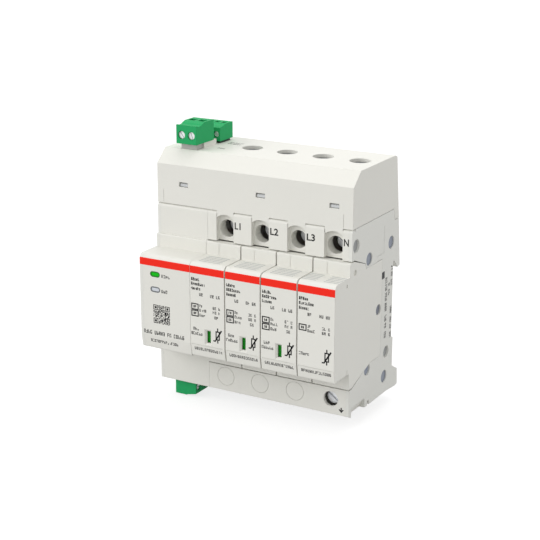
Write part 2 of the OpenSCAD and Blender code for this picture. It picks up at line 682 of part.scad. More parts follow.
// Light guides: an oblong face in the nose, led back and round to the main board
module light_guides() color("lightgreen") for (z = light_z) {
  oblong(light_x, z, light_w, light_h, y_nose + 0.15, y_nose + 3);
  translate([0, 0, z - 0.7]) linear_extrude(1.4) polygon([
    [light_x - 1.2, y_nose + 2.9], [light_x + 1.2, y_nose + 2.9], [light_x + 1.5, y_nose + 4],
    [board_x - 0.2, y_nose + 10], [board_x - 0.2, y_nose + 13], [light_x - 1.2, y_nose + 6]]);
}

board_x = unit_mid + header_w / 2 + 0.2;

// Main board, upright beside the headers, with a notch that clears the bottom plug
module main_board() color("seagreen") along_x(board_x, board_x + board_t) polygon([
  [y_face + wall + 0.3, z_low + 1.4], [-20, z_low + 1.4], [-20, z_low + 0.7],
  [-2.6, z_low + 0.7], [-2.6, z_top - wall - 0.3],
  [y_tab + wall + 0.3, z_top - wall - 0.3], [y_tab + wall + 0.3, 20],
  [y_nose + 9.5, 20], [y_nose + 9.5, -nose_bottom + wall + 0.4],
  [y_face + wall + 0.3, -nose_bottom + wall + 0.4]]);

// Encapsulated power module on the main board
module power_module() color("darkslategray")
  block([board_x - 13, -34, -14], [board_x - 0.1, -10, 16]);

// Pin strip that joins the main board to the hood board
module board_link() color("darkslategray") {
  block([board_x - 2.5, -27, z_top - 6], [board_x - 0.1, -12, z_top + 6]);
  for (k = [0:5]) block([board_x - 1.6, -26 + 2.54 * k, z_top + 5],
    [board_x - 1.0, -25.4 + 2.54 * k, hood_board_z - 0.1]);
}

function hood_outline() = [
  [y_hood, z_hood], [y_hood, z_roof - slope_h], [y_hood + slope_back, z_roof],
  [-0.7, z_roof], [1.2, z_roof - 0.9], [rear_edge(skirt_z), skirt_z + 0.2],
  [0.5, skirt_z + 0.2], [-0.9, z_hood]];

module hood_cavity() polygon([
  [y_hood + hood_wall, z_hood - 1], [y_hood + hood_wall, z_roof - slope_h - 0.7],
  [y_hood + slope_back + 0.6, z_roof - hood_wall], [-1.2, z_roof - hood_wall],
  [-0.4, z_roof - hood_wall - 0.6], [rear_edge(z_hood) - hood_wall, z_hood - 1]]);

// Arched apron between two label tabs, in front of the recess
module apron(i) difference() {
  half = (pole_pitch - tab_w) / 2 - 0.1;
  block([pole_x(i) - half, y_hood, screw_z + 2], [pole_x(i) + half, y_hood + hood_wall, z_hood + 1]);
  rod_y(pole_x(i), screw_z, arch_r, y_hood - 1, y_hood + hood_wall + 1);
}

latch_x = [left + 13.8, pole_x(1), pole_x(3)];
latch_z = z_top + latch_rise;
step_front = y_face + 13.25;
step_back = y_face + 23.7;
front_header = [unit_mid - header_w / 2, front_plug_y + front_setback];
rear_header = [unit_mid - small_header_w / 2, rear_plug_y + rear_setback];
bottom_header = [bottom_plug_x - bottom_setback - small_header_d, bottom_plug_y - header_w / 2];

module hood_cover() color("whitesmoke") difference() {
  union() {
    difference() {
      along_x(left, right) polygon(hood_outline());
      along_x(left + hood_wall, right - hood_wall) hood_cavity();
    }
    for (i = [0:neutral]) apron(i);
    block([unit_mid - header_w / 2 - 0.9, step_front, z_roof - 0.5],
      [unit_mid + header_w / 2 + 0.7, step_back, front_plug_z - 0.1]);
  }
  for (x = [left + 3.2, right - 4.4]) block([x - 0.1, y_hood - 1, z_hood + 0.5],
    [x + 0.1, y_hood + 0.12, z_hood + 6.3]);
  for (i = [0:neutral]) rod_z(pole_x(i), y_wire, wire_r, z_roof - hood_wall - 1, z_roof + 1);
  for (x = latch_x) block([x - latch_w / 2, y_hood - 1, latch_z],
    [x + latch_w / 2, y_hood + hood_wall + 1, latch_z + latch_h]);
  block([front_header[0] - fit_gap, front_header[1] - fit_gap, z_roof - slope_h - 1],
    [front_header[0] + header_w + fit_gap, front_header[1] + header_d + fit_gap, front_plug_z + 1]);
  block([rear_header[0] - fit_gap, rear_header[1] - fit_gap, z_roof - hood_wall - 1],
    [rear_header[0] + small_header_w + fit_gap, rear_header[1] + small_header_d + fit_gap, z_roof + 2]);
}

tray_t = 1.5;
tray_front = y_hood + hood_wall + fit_gap;
tube_in = wire_r + 0.2;
tube_out = tube_in + 0.9;
ring_h = 10;
ring_x = pole_pitch / 2 - hood_wall - 0.15;
ring_y = 9;

// Hood tray: floor of the hood with its latch tongues, wire tubes and board posts
module hood_tray() color("gainsboro") difference() {
  union() {
    block([left + hood_wall + fit_gap, tray_front, z_top],
      [right - hood_wall - fit_gap, -1.2, z_top + tray_t]);
    for (x = latch_x) latch_tongue(x);
    for (i = [0:neutral])
      rod_z(pole_x(i), y_wire, tube_out, z_top + 0.5, z_roof - hood_wall - 0.2);
    for (x = [left + 5.5, seam - 1.5, right - 5.5], y = [-34, -5])
      rod_z(x, y, 2, z_top + 0.5, hood_board_z);
  }
  for (i = [0:neutral]) rod_z(pole_x(i), y_wire, tube_in, z_top - 1, z_roof);
  block([left + 6.3, -31.7, z_top - 1], [seam - 5.3, -10.3, z_top + tray_t + 1]);
}

module latch_tongue(x) along_x(x - latch_w / 2 + 0.3, x + latch_w / 2 - 0.3) polygon([
  [tray_front, z_top + 0.5], [tray_front + 1.3, z_top + 0.5], [tray_front + 1.3, latch_z + latch_h + 1],
  [tray_front, latch_z + latch_h - 0.3], [y_hood + 0.5, latch_z + latch_h - 0.8],
  [y_hood + 0.5, latch_z + 0.2], [tray_front, latch_z + 0.2]]);

module hood_board() color("seagreen") difference() {
  block([left + hood_wall + 0.5, y_hood + 5, hood_board_z],
    [right - hood_wall - 0.5, -2.4, hood_board_z + board_t]);
  for (i = [0:neutral])
    rod_z(pole_x(i), y_wire, tube_out + 0.3, hood_board_z - 1, hood_board_z + board_t + 1);
}

// Current sensor rings round the wire tubes, under the hood board
module sensor_rings() color("darkslategray") for (i = [0:neutral]) difference() {
  translate([pole_x(i), y_wire, hood_board_z - ring_h]) linear_extrude(ring_h) polygon([
    [-ring_x, -5], [-4, -ring_y], [4, -ring_y], [ring_x, -5], [ring_x, 5], [4, ring_y],
    [-4, ring_y], [-ring_x, 5]]);
  rod_z(pole_x(i), y_wire, tube_out + 0.2, hood_board_z - ring_h - 1, hood_board_z + 1);
}

// One header: a box open at the plug's side, with a solid foot on the board
module header(corner, w, d, z0, z1, open_up) difference() {
  block([corner[0], corner[1], z0], [corner[0] + w, corner[1] + d, z1]);
  block([corner[0] + header_wall, corner[1] + header_wall, open_up ? z1 - neck_depth - 0.6 : z0 - 1],
    [corner[0] + w - header_wall, corner[1] + d - header_wall, open_up ? z1 + 1 : z0 + neck_depth + 0.6]);
}

module headers() color("gray") {
  header(front_header, header_w, header_d, hood_board_z + board_t, front_plug_z, true);
  header(rear_header, small_header_w, small_header_d, hood_board_z + board_t, rear_plug_z, true);
  header(bottom_header, small_header_d, header_w, bottom_plug_z, bottom_plug_z + 9, false);
}

// Side of the two-way plug on the hood: a lip over the screws, a groove, then the wire face
module plug_outline(d, h) polygon([
  [0, 0], [d, 0], [d, h], [0.5 * d, h], [0.36 * d, h - 0.6], [0.3 * d, h - 1.1],
  [0.12 * d, h - 1.45], [0.06 * d, h - 0.9], [0, h - 0.9]]);

// Side of the two small plugs: a slope from the screws up to the wire face
module small_outline(d, h) polygon([
  [0, 0], [d, 0], [d, h], [0.46 * d, h], [0.43 * d, h - 0.25], [0, h - 1.25]]);

// Hollows of a plug: screw hole, wire entry and the clamp's room for each way
module plug_hollows(ways, pitch, d, h, screw_r) for (k = [0:ways - 1]) {
  x = (k - (ways - 1) / 2) * pitch;
  rod_y(x, 0.42 * h, screw_r + 0.15, -1, 3.6);
  block([x - 0.34 * pitch, 0.54 * d, 0.42 * h + 2.4],
    [x + 0.34 * pitch, 0.54 * d + 0.72 * pitch, h + 1]);
  block([x - 0.36 * pitch, 3.5, 0.42 * h - 2.0],
    [x + 0.36 * pitch, 0.54 * d + 0.8 * pitch, 0.42 * h + 2.5]);
}

// Neck of a plug: w and d are its header's outside, y the header's front
module neck(w, d, y) {
  shy = header_wall + fit_gap;
  block([-w / 2 + shy, y + shy, -neck_depth], [w / 2 - shy, y + d - shy, 0.1]);
}

// Wire clamps of one plug: a tapped block round each screw's tip, under the wire entry
module plug_clamps(ways, pitch, d, h, screw_r) for (k = [0:ways - 1]) {
  x = (k - (ways - 1) / 2) * pitch;
  difference() {
    block([x - 0.34 * pitch, 3.7, 0.42 * h - 1.8],
      [x + 0.34 * pitch, 0.54 * d + 0.78 * pitch, 0.42 * h + 1.7]);
    rod_y(x, 0.42 * h, screw_r - 0.35, 3, 0.54 * d - 0.1);
    block([x - 0.26 * pitch, 0.54 * d - 0.4, 0.42 * h - 1.2],
      [x + 0.26 * pitch, 0.54 * d + 0.66 * pitch, 0.42 * h + 3]);
  }
}

// Slotted screw of a plug, set back in its hole
module plug_screw(x, d, h, screw_r, turn) color("white") difference() {
  union() {
    rod_y(x, 0.42 * h, screw_r, 0.7, 2.4);
    rod_y(x, 0.42 * h, screw_r - 0.4, 2.4, 0.54 * d - 0.6);
  }
  translate([x, 0.7, 0.42 * h]) rotate([0, turn, 0])
    block([-screw_r - 1, -1, -0.2], [screw_r + 1, 0.5, 0.2]);
}

// Where each plug stands; the one below hangs and faces right
module at_front() translate([unit_mid, front_plug_y, front_plug_z]) children();
module at_rear() translate([unit_mid, rear_plug_y, rear_plug_z]) children();
module at_bottom()
  translate([bottom_plug_x, bottom_plug_y, bottom_plug_z]) rotate([0, 180, 90]) children();

module plug_front() color("mediumseagreen") at_front() difference() {
  union() {
    along_x(-plug_w / 2, plug_w / 2) plug_outline(plug_d, plug_h);
    neck(header_w, header_d, front_setback);
  }
  plug_hollows(2, plug_pitch, plug_d, plug_h, plug_screw_r);
}

module plug_rear() color("mediumseagreen") at_rear() difference() {
  union() {
    along_x(-small_w / 2, small_w / 2) small_outline(small_d, small_h);
    neck(small_header_w, small_header_d, rear_setback);
  }
  plug_hollows(3, small_pitch, small_d, small_h, small_screw_r);
}

module plug_bottom() color("mediumseagreen") at_bottom() difference() {
  union() {
    along_x(-plug_w / 2, plug_w / 2) small_outline(small_d, small_h);
    neck(header_w, small_header_d, bottom_setback);
  }
  plug_hollows(2, plug_pitch, small_d, small_h, plug_screw_r);
}

module clamps_front() color("silver") at_front()
  plug_clamps(2, plug_pitch, plug_d, plug_h, plug_screw_r);
module clamps_rear() color("silver") at_rear()
  plug_clamps(3, small_pitch, small_d, small_h, small_screw_r);
module clamps_bottom() color("silver") at_bottom()
  plug_clamps(2, plug_pitch, small_d, small_h, plug_screw_r);

// Screws of the three plugs: k counts the ways from -1, turn is the slot's angle
module front_screw(k, turn) at_front()
  plug_screw(k * plug_pitch / 2, plug_d, plug_h, plug_screw_r, turn);
module rear_screw(k, turn) at_rear()
  plug_screw(k * small_pitch, small_d, small_h, small_screw_r, turn);
module bottom_screw(k, turn) at_bottom()
  plug_screw(k * plug_pitch / 2, small_d, small_h, plug_screw_r, turn);

base_housing();
end_cover();
base_rivets();
line_bars();
link_bar();
earth_bar();
cartridge(0);  // cartridge_l1
cartridge(1);  // cartridge_l2
cartridge(2);  // cartridge_l3
cartridge(neutral);  // cartridge_n
back_plate(0);  // back_plate_l1
back_plate(1);  // back_plate_l2
back_plate(2);  // back_plate_l3
back_plate(neutral);  // back_plate_n
blades(0);  // blades_l1
blades(1);  // blades_l2
blades(2);  // blades_l3
blades(neutral);  // blades_n
varistor(0);  // varistor_l1
varistor(1);  // varistor_l2
varistor(2);  // varistor_l3
gas_tube();
flag(0);  // flag_l1
flag(1);  // flag_l2
flag(2);  // flag_l3
clamp_screw(pole_x(0), screw_z, head_y);  // screw_l1
clamp_screw(pole_x(1), screw_z, head_y);  // screw_l2
clamp_screw(pole_x(2), screw_z, head_y);  // screw_l3
clamp_screw(pole_x(neutral), screw_z, head_y);  // screw_n
clamp_screw(pole_x(neutral), -earth_z, earth_head_y);  // screw_earth
cage(pole_x(0), screw_z);  // cage_l1
cage(pole_x(1), screw_z);  // cage_l2
cage(pole_x(2), screw_z);  // cage_l3
cage(pole_x(neutral), screw_z);  // cage_n
cage(pole_x(neutral), -earth_z);  // cage_earth
rail_clip();
unit_housing();
unit_cover();
light_guides();
main_board();
power_module();
board_link();
hood_cover();
hood_tray();
hood_board();
sensor_rings();
headers();
plug_front();
plug_rear();
plug_bottom();
clamps_front();
clamps_rear();
clamps_bottom();
front_screw(-1, 55);  // plug_screw_f1
front_screw(1, 70);  // plug_screw_f2
rear_screw(-1, 40);  // plug_screw_r1
rear_screw(0, 65);  // plug_screw_r2
rear_screw(1, 20);  // plug_screw_r3
bottom_screw(-1, 50);  // plug_screw_b1
bottom_screw(1, 30);  // plug_screw_b2
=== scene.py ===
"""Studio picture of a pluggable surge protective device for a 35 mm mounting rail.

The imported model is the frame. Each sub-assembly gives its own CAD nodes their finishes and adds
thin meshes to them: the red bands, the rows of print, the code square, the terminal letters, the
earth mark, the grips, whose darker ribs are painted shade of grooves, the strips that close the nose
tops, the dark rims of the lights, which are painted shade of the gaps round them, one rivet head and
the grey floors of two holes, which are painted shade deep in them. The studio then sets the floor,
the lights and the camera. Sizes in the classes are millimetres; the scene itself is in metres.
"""

import logging
import math
import random
from dataclasses import dataclass, field
from enum import Enum

import bmesh
import bpy
from mathutils import Matrix, Vector


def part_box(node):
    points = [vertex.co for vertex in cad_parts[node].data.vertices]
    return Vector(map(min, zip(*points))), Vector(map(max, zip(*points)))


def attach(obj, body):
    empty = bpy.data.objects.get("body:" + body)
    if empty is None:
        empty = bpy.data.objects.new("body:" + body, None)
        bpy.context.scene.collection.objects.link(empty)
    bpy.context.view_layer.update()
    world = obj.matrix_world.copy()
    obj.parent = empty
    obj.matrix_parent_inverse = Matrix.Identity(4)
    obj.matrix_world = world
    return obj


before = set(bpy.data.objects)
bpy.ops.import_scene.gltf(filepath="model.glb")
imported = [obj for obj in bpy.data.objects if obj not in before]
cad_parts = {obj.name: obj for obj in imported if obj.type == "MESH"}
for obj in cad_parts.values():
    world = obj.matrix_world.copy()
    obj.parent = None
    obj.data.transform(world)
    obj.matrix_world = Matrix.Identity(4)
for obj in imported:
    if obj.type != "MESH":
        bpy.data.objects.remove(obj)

LOG = logging.getLogger("surge_protective_device")
MM = 0.001
SOCKETS = {tuple: "NodeSocketColor", float: "NodeSocketFloat", int: "NodeSocketInt"}
Socket = bpy.types.NodeSocket
Sockets = bpy.types.NodeOutputs
Tree = bpy.types.NodeTree
Material = bpy.types.Material
Loop = list[bmesh.types.BMVert]
Colour = tuple[int, int, int]
Point = tuple[float, float, float]
Flat = tuple[float, float]
Rows = tuple[tuple[float, ...], ...]


def linear(colour: Colour) -> tuple[float, float, float, float]:
    """Turn an sRGB colour into Blender's linear RGBA.

    Args:
        colour: Red, green and blue, 0 to 255.

    Returns:
        The linear colour with full alpha.
    """
    shares = (value / 255 for value in colour)
    return (*(s / 12.92 if s <= 0.04045 else ((s + 0.055) / 1.055) ** 2.4 for s in shares), 1.0)


def moved(x: float = 0.0, y: float = 0.0, z: float = 0.0) -> Matrix:
    """A shift, given in millimetres."""
    return Matrix.Translation((x * MM, y * MM, z * MM))


def turned(degrees: float, axis: str) -> Matrix:
    """A turn about an axis."""
    return Matrix.Rotation(math.radians(degrees), 4, axis)


def stand(name: str, data: bpy.types.ID) -> bpy.types.Object:
    """Make an object and put it in the scene.

    Args:
        name: The object's name.
        data: Its mesh, light or camera.

    Returns:
        The object.
    """
    made = bpy.data.objects.new(name, data)
    bpy.context.scene.collection.objects.link(made)
    return made


def drawn_mesh(carrier: bpy.types.Object) -> bpy.types.Mesh:
    """A plain mesh of an object as it is drawn."""
    graph = bpy.context.evaluated_depsgraph_get()
    return bpy.data.meshes.new_from_object(carrier.evaluated_get(graph))


class Pole(Enum):
    """The four poles of the base, from left to right."""

    L1 = "l1"
    L2 = "l2"
    L3 = "l3"
    N = "n"

    @property
    def is_line(self) -> bool:
        """True for a pole that protects a line wire."""
        return self is not Pole.N


class Axis(Enum):
    """An axis of the part's frame, named as on the Separate XYZ node."""

    X = "X"
    Y = "Y"
    Z = "Z"


class Face(Enum):
    """The faces that carry print."""

    FRONT = "front"
    FOOT = "foot"
    RIGHT = "right"
    TOP = "top"


class Weight(Enum):
    """How thick the uprights of a letter are, as a share of its width."""

    PLAIN = 0.32
    BOLD = 0.44


def new_group(name: str, kind: str, inputs: dict[str, object], outputs: dict[str, str]) -> Tree:
    """Make an empty node group with named sockets.

    Args:
        name: The group's name.
        kind: "ShaderNodeTree" or "GeometryNodeTree".
        inputs: Default value of each input, by name, or its socket type where it has no default.
        outputs: Socket type of each output, by name.

    Returns:
        The group, with its input and output nodes named "in" and "out".
    """
    group = bpy.data.node_groups.new(name, kind)
    for label, default in inputs.items():
        socket = default if isinstance(default, str) else SOCKETS[type(default)]
        made = group.interface.new_socket(label, in_out="INPUT", socket_type=socket)
        if socket is not default:
            made.default_value = default
    for label, socket in outputs.items():
        group.interface.new_socket(label, in_out="OUTPUT", socket_type=socket)
    group.nodes.new("NodeGroupInput").name = "in"
    group.nodes.new("NodeGroupOutput").name = "out"
    return group


class Bench:
    """Adds nodes to one tree and feeds their inputs."""

    MIX_FIRST, MIX_SECOND, MIX_RESULT = 6, 7, 2

    def __init__(self, tree: Tree) -> None:
        """Work on one tree."""
        self.tree = tree

    def feed(self, value: object, socket: Socket) -> None:
        """Link a socket, or set a number or colour, on an input.

        Args:
            value: The socket, number or colour; None leaves the input as it is.
            socket: The input.
        """
        if isinstance(value, Socket):
            self.tree.links.new(value, socket)
        elif value is not None:
            socket.default_value = value

    def add(self, kind: str, feeds: dict[str | int, object], **settings: object) -> bpy.types.Node:
        """Add a node.

        Args:
            kind: The node's type.
            feeds: A socket or a value for each input, by the input's name or number.
            settings: The node's own settings, made before its inputs are fed.

        Returns:
            The node.
        """
        node = self.tree.nodes.new(kind)
        for label, value in settings.items():
            setattr(node, label, value)
        for label, value in feeds.items():
            self.feed(value, node.inputs[label])
        return node

    def math(self, operation: str, first: object, second: object = None, clamp: bool = False) -> Socket:
        """Add a Math node; the result is kept between 0 and 1 where it is clamped."""
        feeds = {0: first, 1: second}
        return self.add("ShaderNodeMath", feeds, operation=operation, use_clamp=clamp).outputs[0]

    def mix(self, factor: Socket, first: object, second: object) -> Socket:
        """Mix two colours; a factor of 0 shows the first."""
        feeds = {"Factor": factor, self.MIX_FIRST: first, self.MIX_SECOND: second}
        return self.add("ShaderNodeMix", feeds, data_type="RGBA").outputs[self.MIX_RESULT]

    def noise(self, vector: Socket, scale: object, detail: float) -> Socket:
        """Add a noise texture; its value is around 0.5."""
        feeds = {"Detail": detail, "Vector": vector, "Scale": scale}
        return self.add("ShaderNodeTexNoise", feeds).outputs["Fac"]

    def swing(self, noise: Socket, reach: float) -> Socket:
        """How far a noise swings from its middle, times a reach."""
        return self.math("MULTIPLY", self.math("SUBTRACT", noise, 0.5), reach)

    def place(self) -> Socket:
        """Object coordinates, in metres."""
        return self.add("ShaderNodeTexCoord", {}).outputs["Object"]

    def along(self, axis: Axis) -> Socket:
        """One part of the Object coordinates."""
        return self.add("ShaderNodeSeparateXYZ", {0: self.place()}).outputs[axis.value]

    def scaled(self, colour: object, level: Socket) -> Socket:
        """Brighten or darken a colour by a level."""
        feeds = {0: colour, "Scale": level}
        return self.add("ShaderNodeVectorMath", feeds, operation="SCALE").outputs[0]


class SurfaceGroups:
    """The shader node groups that the finishes share. Scales are per metre."""

    OUTPUTS = {"Colour": "NodeSocketColor", "Roughness": "NodeSocketFloat", "Normal": "NodeSocketVector"}
    GREY = (0.8, 0.8, 0.8, 1)
    COARSE, FINE = 3.0, 2.0
    EDGE_SAMPLES, EDGE_GAIN = 4, 6.0
    CLOUD_SCALE, SPECK_SCALE = 38.0, 420.0
    SPECK_SHARE, SPECK_ROUGH, EDGE_POLISH = 0.5, 0.08, 0.06
    DRAWN = (1.0, 0.12, 1.0)
    # The third value is a painted highlight, not wear: how much the colour of metal edges brightens.
    STAIN_SCALE, STAIN_ROUGH, EDGE_WEAR = 260.0, 0.12, 0.08
    PAD_JITTER, PAD_SIZE, PAD_POLISH = 0.15, 0.2, 0.1
    TRACK_SCALE, TRACK_COUNT, TRACK_GAP = 0.4, 5.0, 0.62

    def __init__(self) -> None:
        """Build each group once."""
        self.moulded = self._moulded()
        self.plated = self._plated()
        self.board = self._board()

    def _start(self, name: str, inputs: dict[str, object]) -> tuple[Bench, Sockets, Socket]:
        """Start a group: its bench, the sockets of its own values, and the Object coordinates."""
        bench = Bench(new_group(name, "ShaderNodeTree", inputs, self.OUTPUTS))
        return bench, bench.tree.nodes["in"].outputs, bench.place()

    def _rounded(self, bench: Bench, height: Socket) -> tuple[Socket, Socket]:
        """Bump a height over normals that round the edges.

        Args:
            bench: The tree; its input node has "Edge Radius" and "Grain Depth".
            height: The height of the grain, 0 to 1.

        Returns:
            The bumped normal, and a mask that is 1 on the edges.
        """
        given = bench.tree.nodes["in"].outputs
        bevel = bench.add("ShaderNodeBevel", {"Radius": given["Edge Radius"]}, samples=self.EDGE_SAMPLES)
        soft, hard = (node.outputs["Normal"] for node in (bevel, bench.add("ShaderNodeNewGeometry", {})))
        feeds = {"Distance": given["Grain Depth"], "Height": height, "Normal": soft}
        bumped = bench.add("ShaderNodeBump", feeds).outputs["Normal"]
        match = bench.add("ShaderNodeVectorMath", {0: soft, 1: hard}, operation="DOT_PRODUCT")
        tilt = bench.math("SUBTRACT", 1.0, match.outputs["Value"])
        return bumped, bench.math("MULTIPLY", tilt, self.EDGE_GAIN, clamp=True)

    @staticmethod
    def _level(bench: Bench, drift: Socket, reach: Socket, edge: Socket, light: object) -> Socket:
        """How bright a surface's colour is: 1, its drift times a reach, and a painted highlight on the
        edge.
        """
        level = bench.math("ADD", 1.0, bench.math("MULTIPLY", drift, reach))
        return bench.math("ADD", level, bench.math("MULTIPLY", edge, light))

    @staticmethod
    def _finish(bench: Bench, colour: Socket, rough: Socket, normal: Socket) -> Tree:
        """Lead the three results into the group's output.

        Args:
            bench: The tree.
            colour: The surface's colour.
            rough: Its roughness.
            normal: Its normal.

        Returns:
            The group.
        """
        out = bench.tree.nodes["out"]
        for value, label in ((colour, "Colour"), (rough, "Roughness"), (normal, "Normal")):
            bench.feed(value, out.inputs[label])
        return bench.tree

    def _moulded(self) -> Tree:
        """Moulded plastic: cloudy tint, fine grain, rounded and slightly polished edges, and a painted
        highlight that brightens the colour along the edges.

        Returns:
            The group.
        """
        # The edge input below is a painted highlight: it brightens the colour along the rounded edges.
        bench, given, place = self._start("MouldedSurface", {
            "Colour": self.GREY, "Cloud": 0.03, "Grain Scale": 3000.0, "Grain Depth": 0.00001,
            "Edge Radius": 0.0003, "Edge Light": 0.03, "Roughness": 0.5})
        cloud = bench.noise(place, self.CLOUD_SCALE, self.COARSE)
        speck = bench.noise(place, self.SPECK_SCALE, self.FINE)
        normal, edge = self._rounded(bench, bench.noise(place, given["Grain Scale"], self.FINE))
        drift = bench.math("SUBTRACT", cloud, 0.5)
        drift = bench.math("ADD", drift, bench.swing(speck, self.SPECK_SHARE))
        level = self._level(bench, drift, given["Cloud"], edge, given["Edge Light"])
        rough = bench.math("ADD", given["Roughness"], bench.swing(speck, self.SPECK_ROUGH))
        rough = bench.math("SUBTRACT", rough, bench.math("MULTIPLY", edge, self.EDGE_POLISH), clamp=True)
        return self._finish(bench, bench.scaled(given["Colour"], level), rough, normal)

    def _plated(self) -> Tree:
        """Plated metal: streaks along the drawing direction, uneven gloss, rounded edges, and a painted
        highlight that brightens the colour along the edges.

        Returns:
            The group.
        """
        bench, given, place = self._start("PlatedMetal", {
            "Colour": self.GREY, "Streak": 0.06, "Grain Scale": 1500.0, "Grain Depth": 0.00001,
            "Edge Radius": 0.0002, "Roughness": 0.35})
        drawn = bench.add("ShaderNodeMapping", {"Scale": self.DRAWN, "Vector": place}).outputs["Vector"]
        streak = bench.noise(drawn, given["Grain Scale"], self.COARSE)
        stain = bench.noise(place, self.STAIN_SCALE, self.COARSE)
        normal, edge = self._rounded(bench, streak)
        drift = bench.math("SUBTRACT", bench.math("ADD", streak, stain), 1.0)
        # The edges of the metal are brightened in colour: a painted highlight.
        level = self._level(bench, drift, given["Streak"], edge, self.EDGE_WEAR)
        rough = bench.math("ADD", given["Roughness"], bench.swing(stain, self.STAIN_ROUGH), clamp=True)
        return self._finish(bench, bench.scaled(given["Colour"], level), rough, normal)

    def _board(self) -> Tree:
        """Circuit board: solder mask over raised copper tracks, with tinned pads between them.

        Returns:
            The group.
        """
        bench, given, place = self._start("CircuitBoard", {
            "Mask": (0.02, 0.12, 0.05, 1), "Track": (0.04, 0.2, 0.08, 1), "Pad": (0.6, 0.6, 0.58, 1),
            "Pitch": 390.0, "Edge Radius": 0.0001, "Grain Depth": 0.00003, "Roughness": 0.35})
        cells = bench.add("ShaderNodeTexVoronoi", {
            "Randomness": self.PAD_JITTER, "Vector": place, "Scale": given["Pitch"]})
        lines = bench.add("ShaderNodeTexVoronoi", {
            "Vector": place, "Scale": bench.math("MULTIPLY", given["Pitch"], self.TRACK_SCALE)},
            distance="CHEBYCHEV", feature="F2")
        pads = bench.math("LESS_THAN", cells.outputs["Distance"], self.PAD_SIZE)
        steps = bench.math("FRACT", bench.math("MULTIPLY", lines.outputs["Distance"], self.TRACK_COUNT))
        tracks = bench.math("GREATER_THAN", steps, self.TRACK_GAP)
        colour = bench.mix(pads, bench.mix(tracks, given["Mask"], given["Track"]), given["Pad"])
        normal, _ = self._rounded(bench, bench.math("MAXIMUM", tracks, pads))
        rough = bench.math("SUBTRACT", given["Roughness"], bench.math("MULTIPLY", pads, self.PAD_POLISH))
        return self._finish(bench, colour, rough, normal)


def new_material(name: str) -> tuple[Material, bpy.types.Node]:
    """Make a node material.

    Args:
        name: The material's name.

    Returns:
        The material and its Principled shader.
    """
    made = bpy.data.materials.new(name)
    made.use_nodes = True
    return made, made.node_tree.nodes["Principled BSDF"]


@dataclass(frozen=True)
class Finish:
    """A finish: a Principled material whose surface comes from a shared group.

    A field that is listed here goes to that socket of the group, or else of the shader.
    """

    name: str

    SURFACE = "moulded"
    RESULTS = {"Colour": "Base Color", "Roughness": "Roughness", "Normal": "Normal"}
    FIELDS = {
        "colour": "Colour", "mask": "Mask", "track": "Track", "roughness": "Roughness", "cloud": "Cloud",
        "streak": "Streak", "grain_mm": "Grain Scale", "pitch_mm": "Pitch", "depth_mm": "Grain Depth",
        "edge_mm": "Edge Radius", "edge_light": "Edge Light", "specular": "Specular IOR Level",
        "coat": "Coat Weight", "metallic": "Metallic"}

    def value(self, label: str, socket: str) -> object:
        """Value of a field as its socket takes it.

        Args:
            label: The field's name.
            socket: The socket's name.

        Returns:
            A linear colour, a length in metres, a scale per metre, or the number itself.
        """
        value = getattr(self, label)
        if isinstance(value, tuple):
            return linear(value)
        if label.endswith("_mm"):
            return 1 / (value * MM) if socket in ("Grain Scale", "Pitch") else value * MM
        return value

    def material(self, groups: SurfaceGroups) -> Material:
        """Build the material.

        Args:
            groups: The shared surface groups.

        Returns:
            The material; its node "surface" holds the group.
        """
        made, shader = new_material(self.name)
        bench = Bench(made.node_tree)
        node = bench.add("ShaderNodeGroup", {}, node_tree=getattr(groups, self.SURFACE), name="surface")
        for label, socket in self.FIELDS.items():
            if hasattr(self, label):
                owner = node if socket in node.inputs else shader
                bench.feed(self.value(label, socket), owner.inputs[socket])
        for result, socket in self.RESULTS.items():
            bench.feed(node.outputs[result], shader.inputs[socket])
        return made


@dataclass(frozen=True)
class MouldedFinish(Finish):
    """A moulded plastic or coated finish."""

    colour: Colour
    roughness: float = 0.5
    cloud: float = 0.03
    grain_mm: float = 0.35
    depth_mm: float = 0.01
    edge_mm: float = 0.28
    # A painted highlight: how much the colour brightens along the edges.
    edge_light: float = 0.04
    specular: float = 0.35
    coat: float = 0.0


@dataclass(frozen=True)
class InkFinish(MouldedFinish):
    """Printed ink: hardly any grain, and edges far sharper than a moulding's."""

    depth_mm: float = 0.002
    edge_mm: float = 0.01
    specular: float = 0.2


@dataclass(frozen=True)
class SplitFinish(MouldedFinish):
    """A moulded finish that changes beyond a place on one axis, as a two-colour flag does.

    With both_ways it changes that far either way from the middle, as a tube does at its two caps.
    """

    beyond: Colour = (255, 255, 255)
    axis: Axis = Axis.Z
    split_mm: float = 0.0
    both_ways: bool = False
    glow: float = 0.0
    metal: bool = False

    def material(self, groups: SurfaceGroups) -> Material:
        """Build the material; the glow and the metal, if any, lie beyond the split.

        Args:
            groups: The shared surface groups.

        Returns:
            The material.
        """
        made = super().material(groups)
        bench, nodes = Bench(made.node_tree), made.node_tree.nodes
        surface, shader = nodes["surface"].inputs, nodes["Principled BSDF"].inputs
        place = bench.along(self.axis)
        if self.both_ways:
            place = bench.math("ABSOLUTE", place)
        far = bench.math("GREATER_THAN", place, self.split_mm * MM)
        bench.feed(bench.mix(far, linear(self.colour), linear(self.beyond)), surface["Colour"])
        if self.glow:
            bench.feed(bench.mix(far, (0, 0, 0, 1), linear(self.beyond)), shader["Emission Color"])
            bench.feed(self.glow, shader["Emission Strength"])
        if self.metal:
            bench.feed(far, shader["Metallic"])
        return made


@dataclass(frozen=True)
class MetalFinish(Finish):
    """A plated or bare metal finish."""

    colour: Colour
    roughness: float = 0.35
    streak: float = 0.06
    grain_mm: float = 0.5
    depth_mm: float = 0.008
    edge_mm: float = 0.15
    metallic: float = 1.0

    SURFACE = "plated"


@dataclass(frozen=True)
class BoardFinish(Finish):
    """A printed circuit board under solder mask."""

    mask: Colour
    track: Colour
    pitch_mm: float = 2.54
    roughness: float = 0.35
    coat: float = 0.4

    SURFACE = "board"


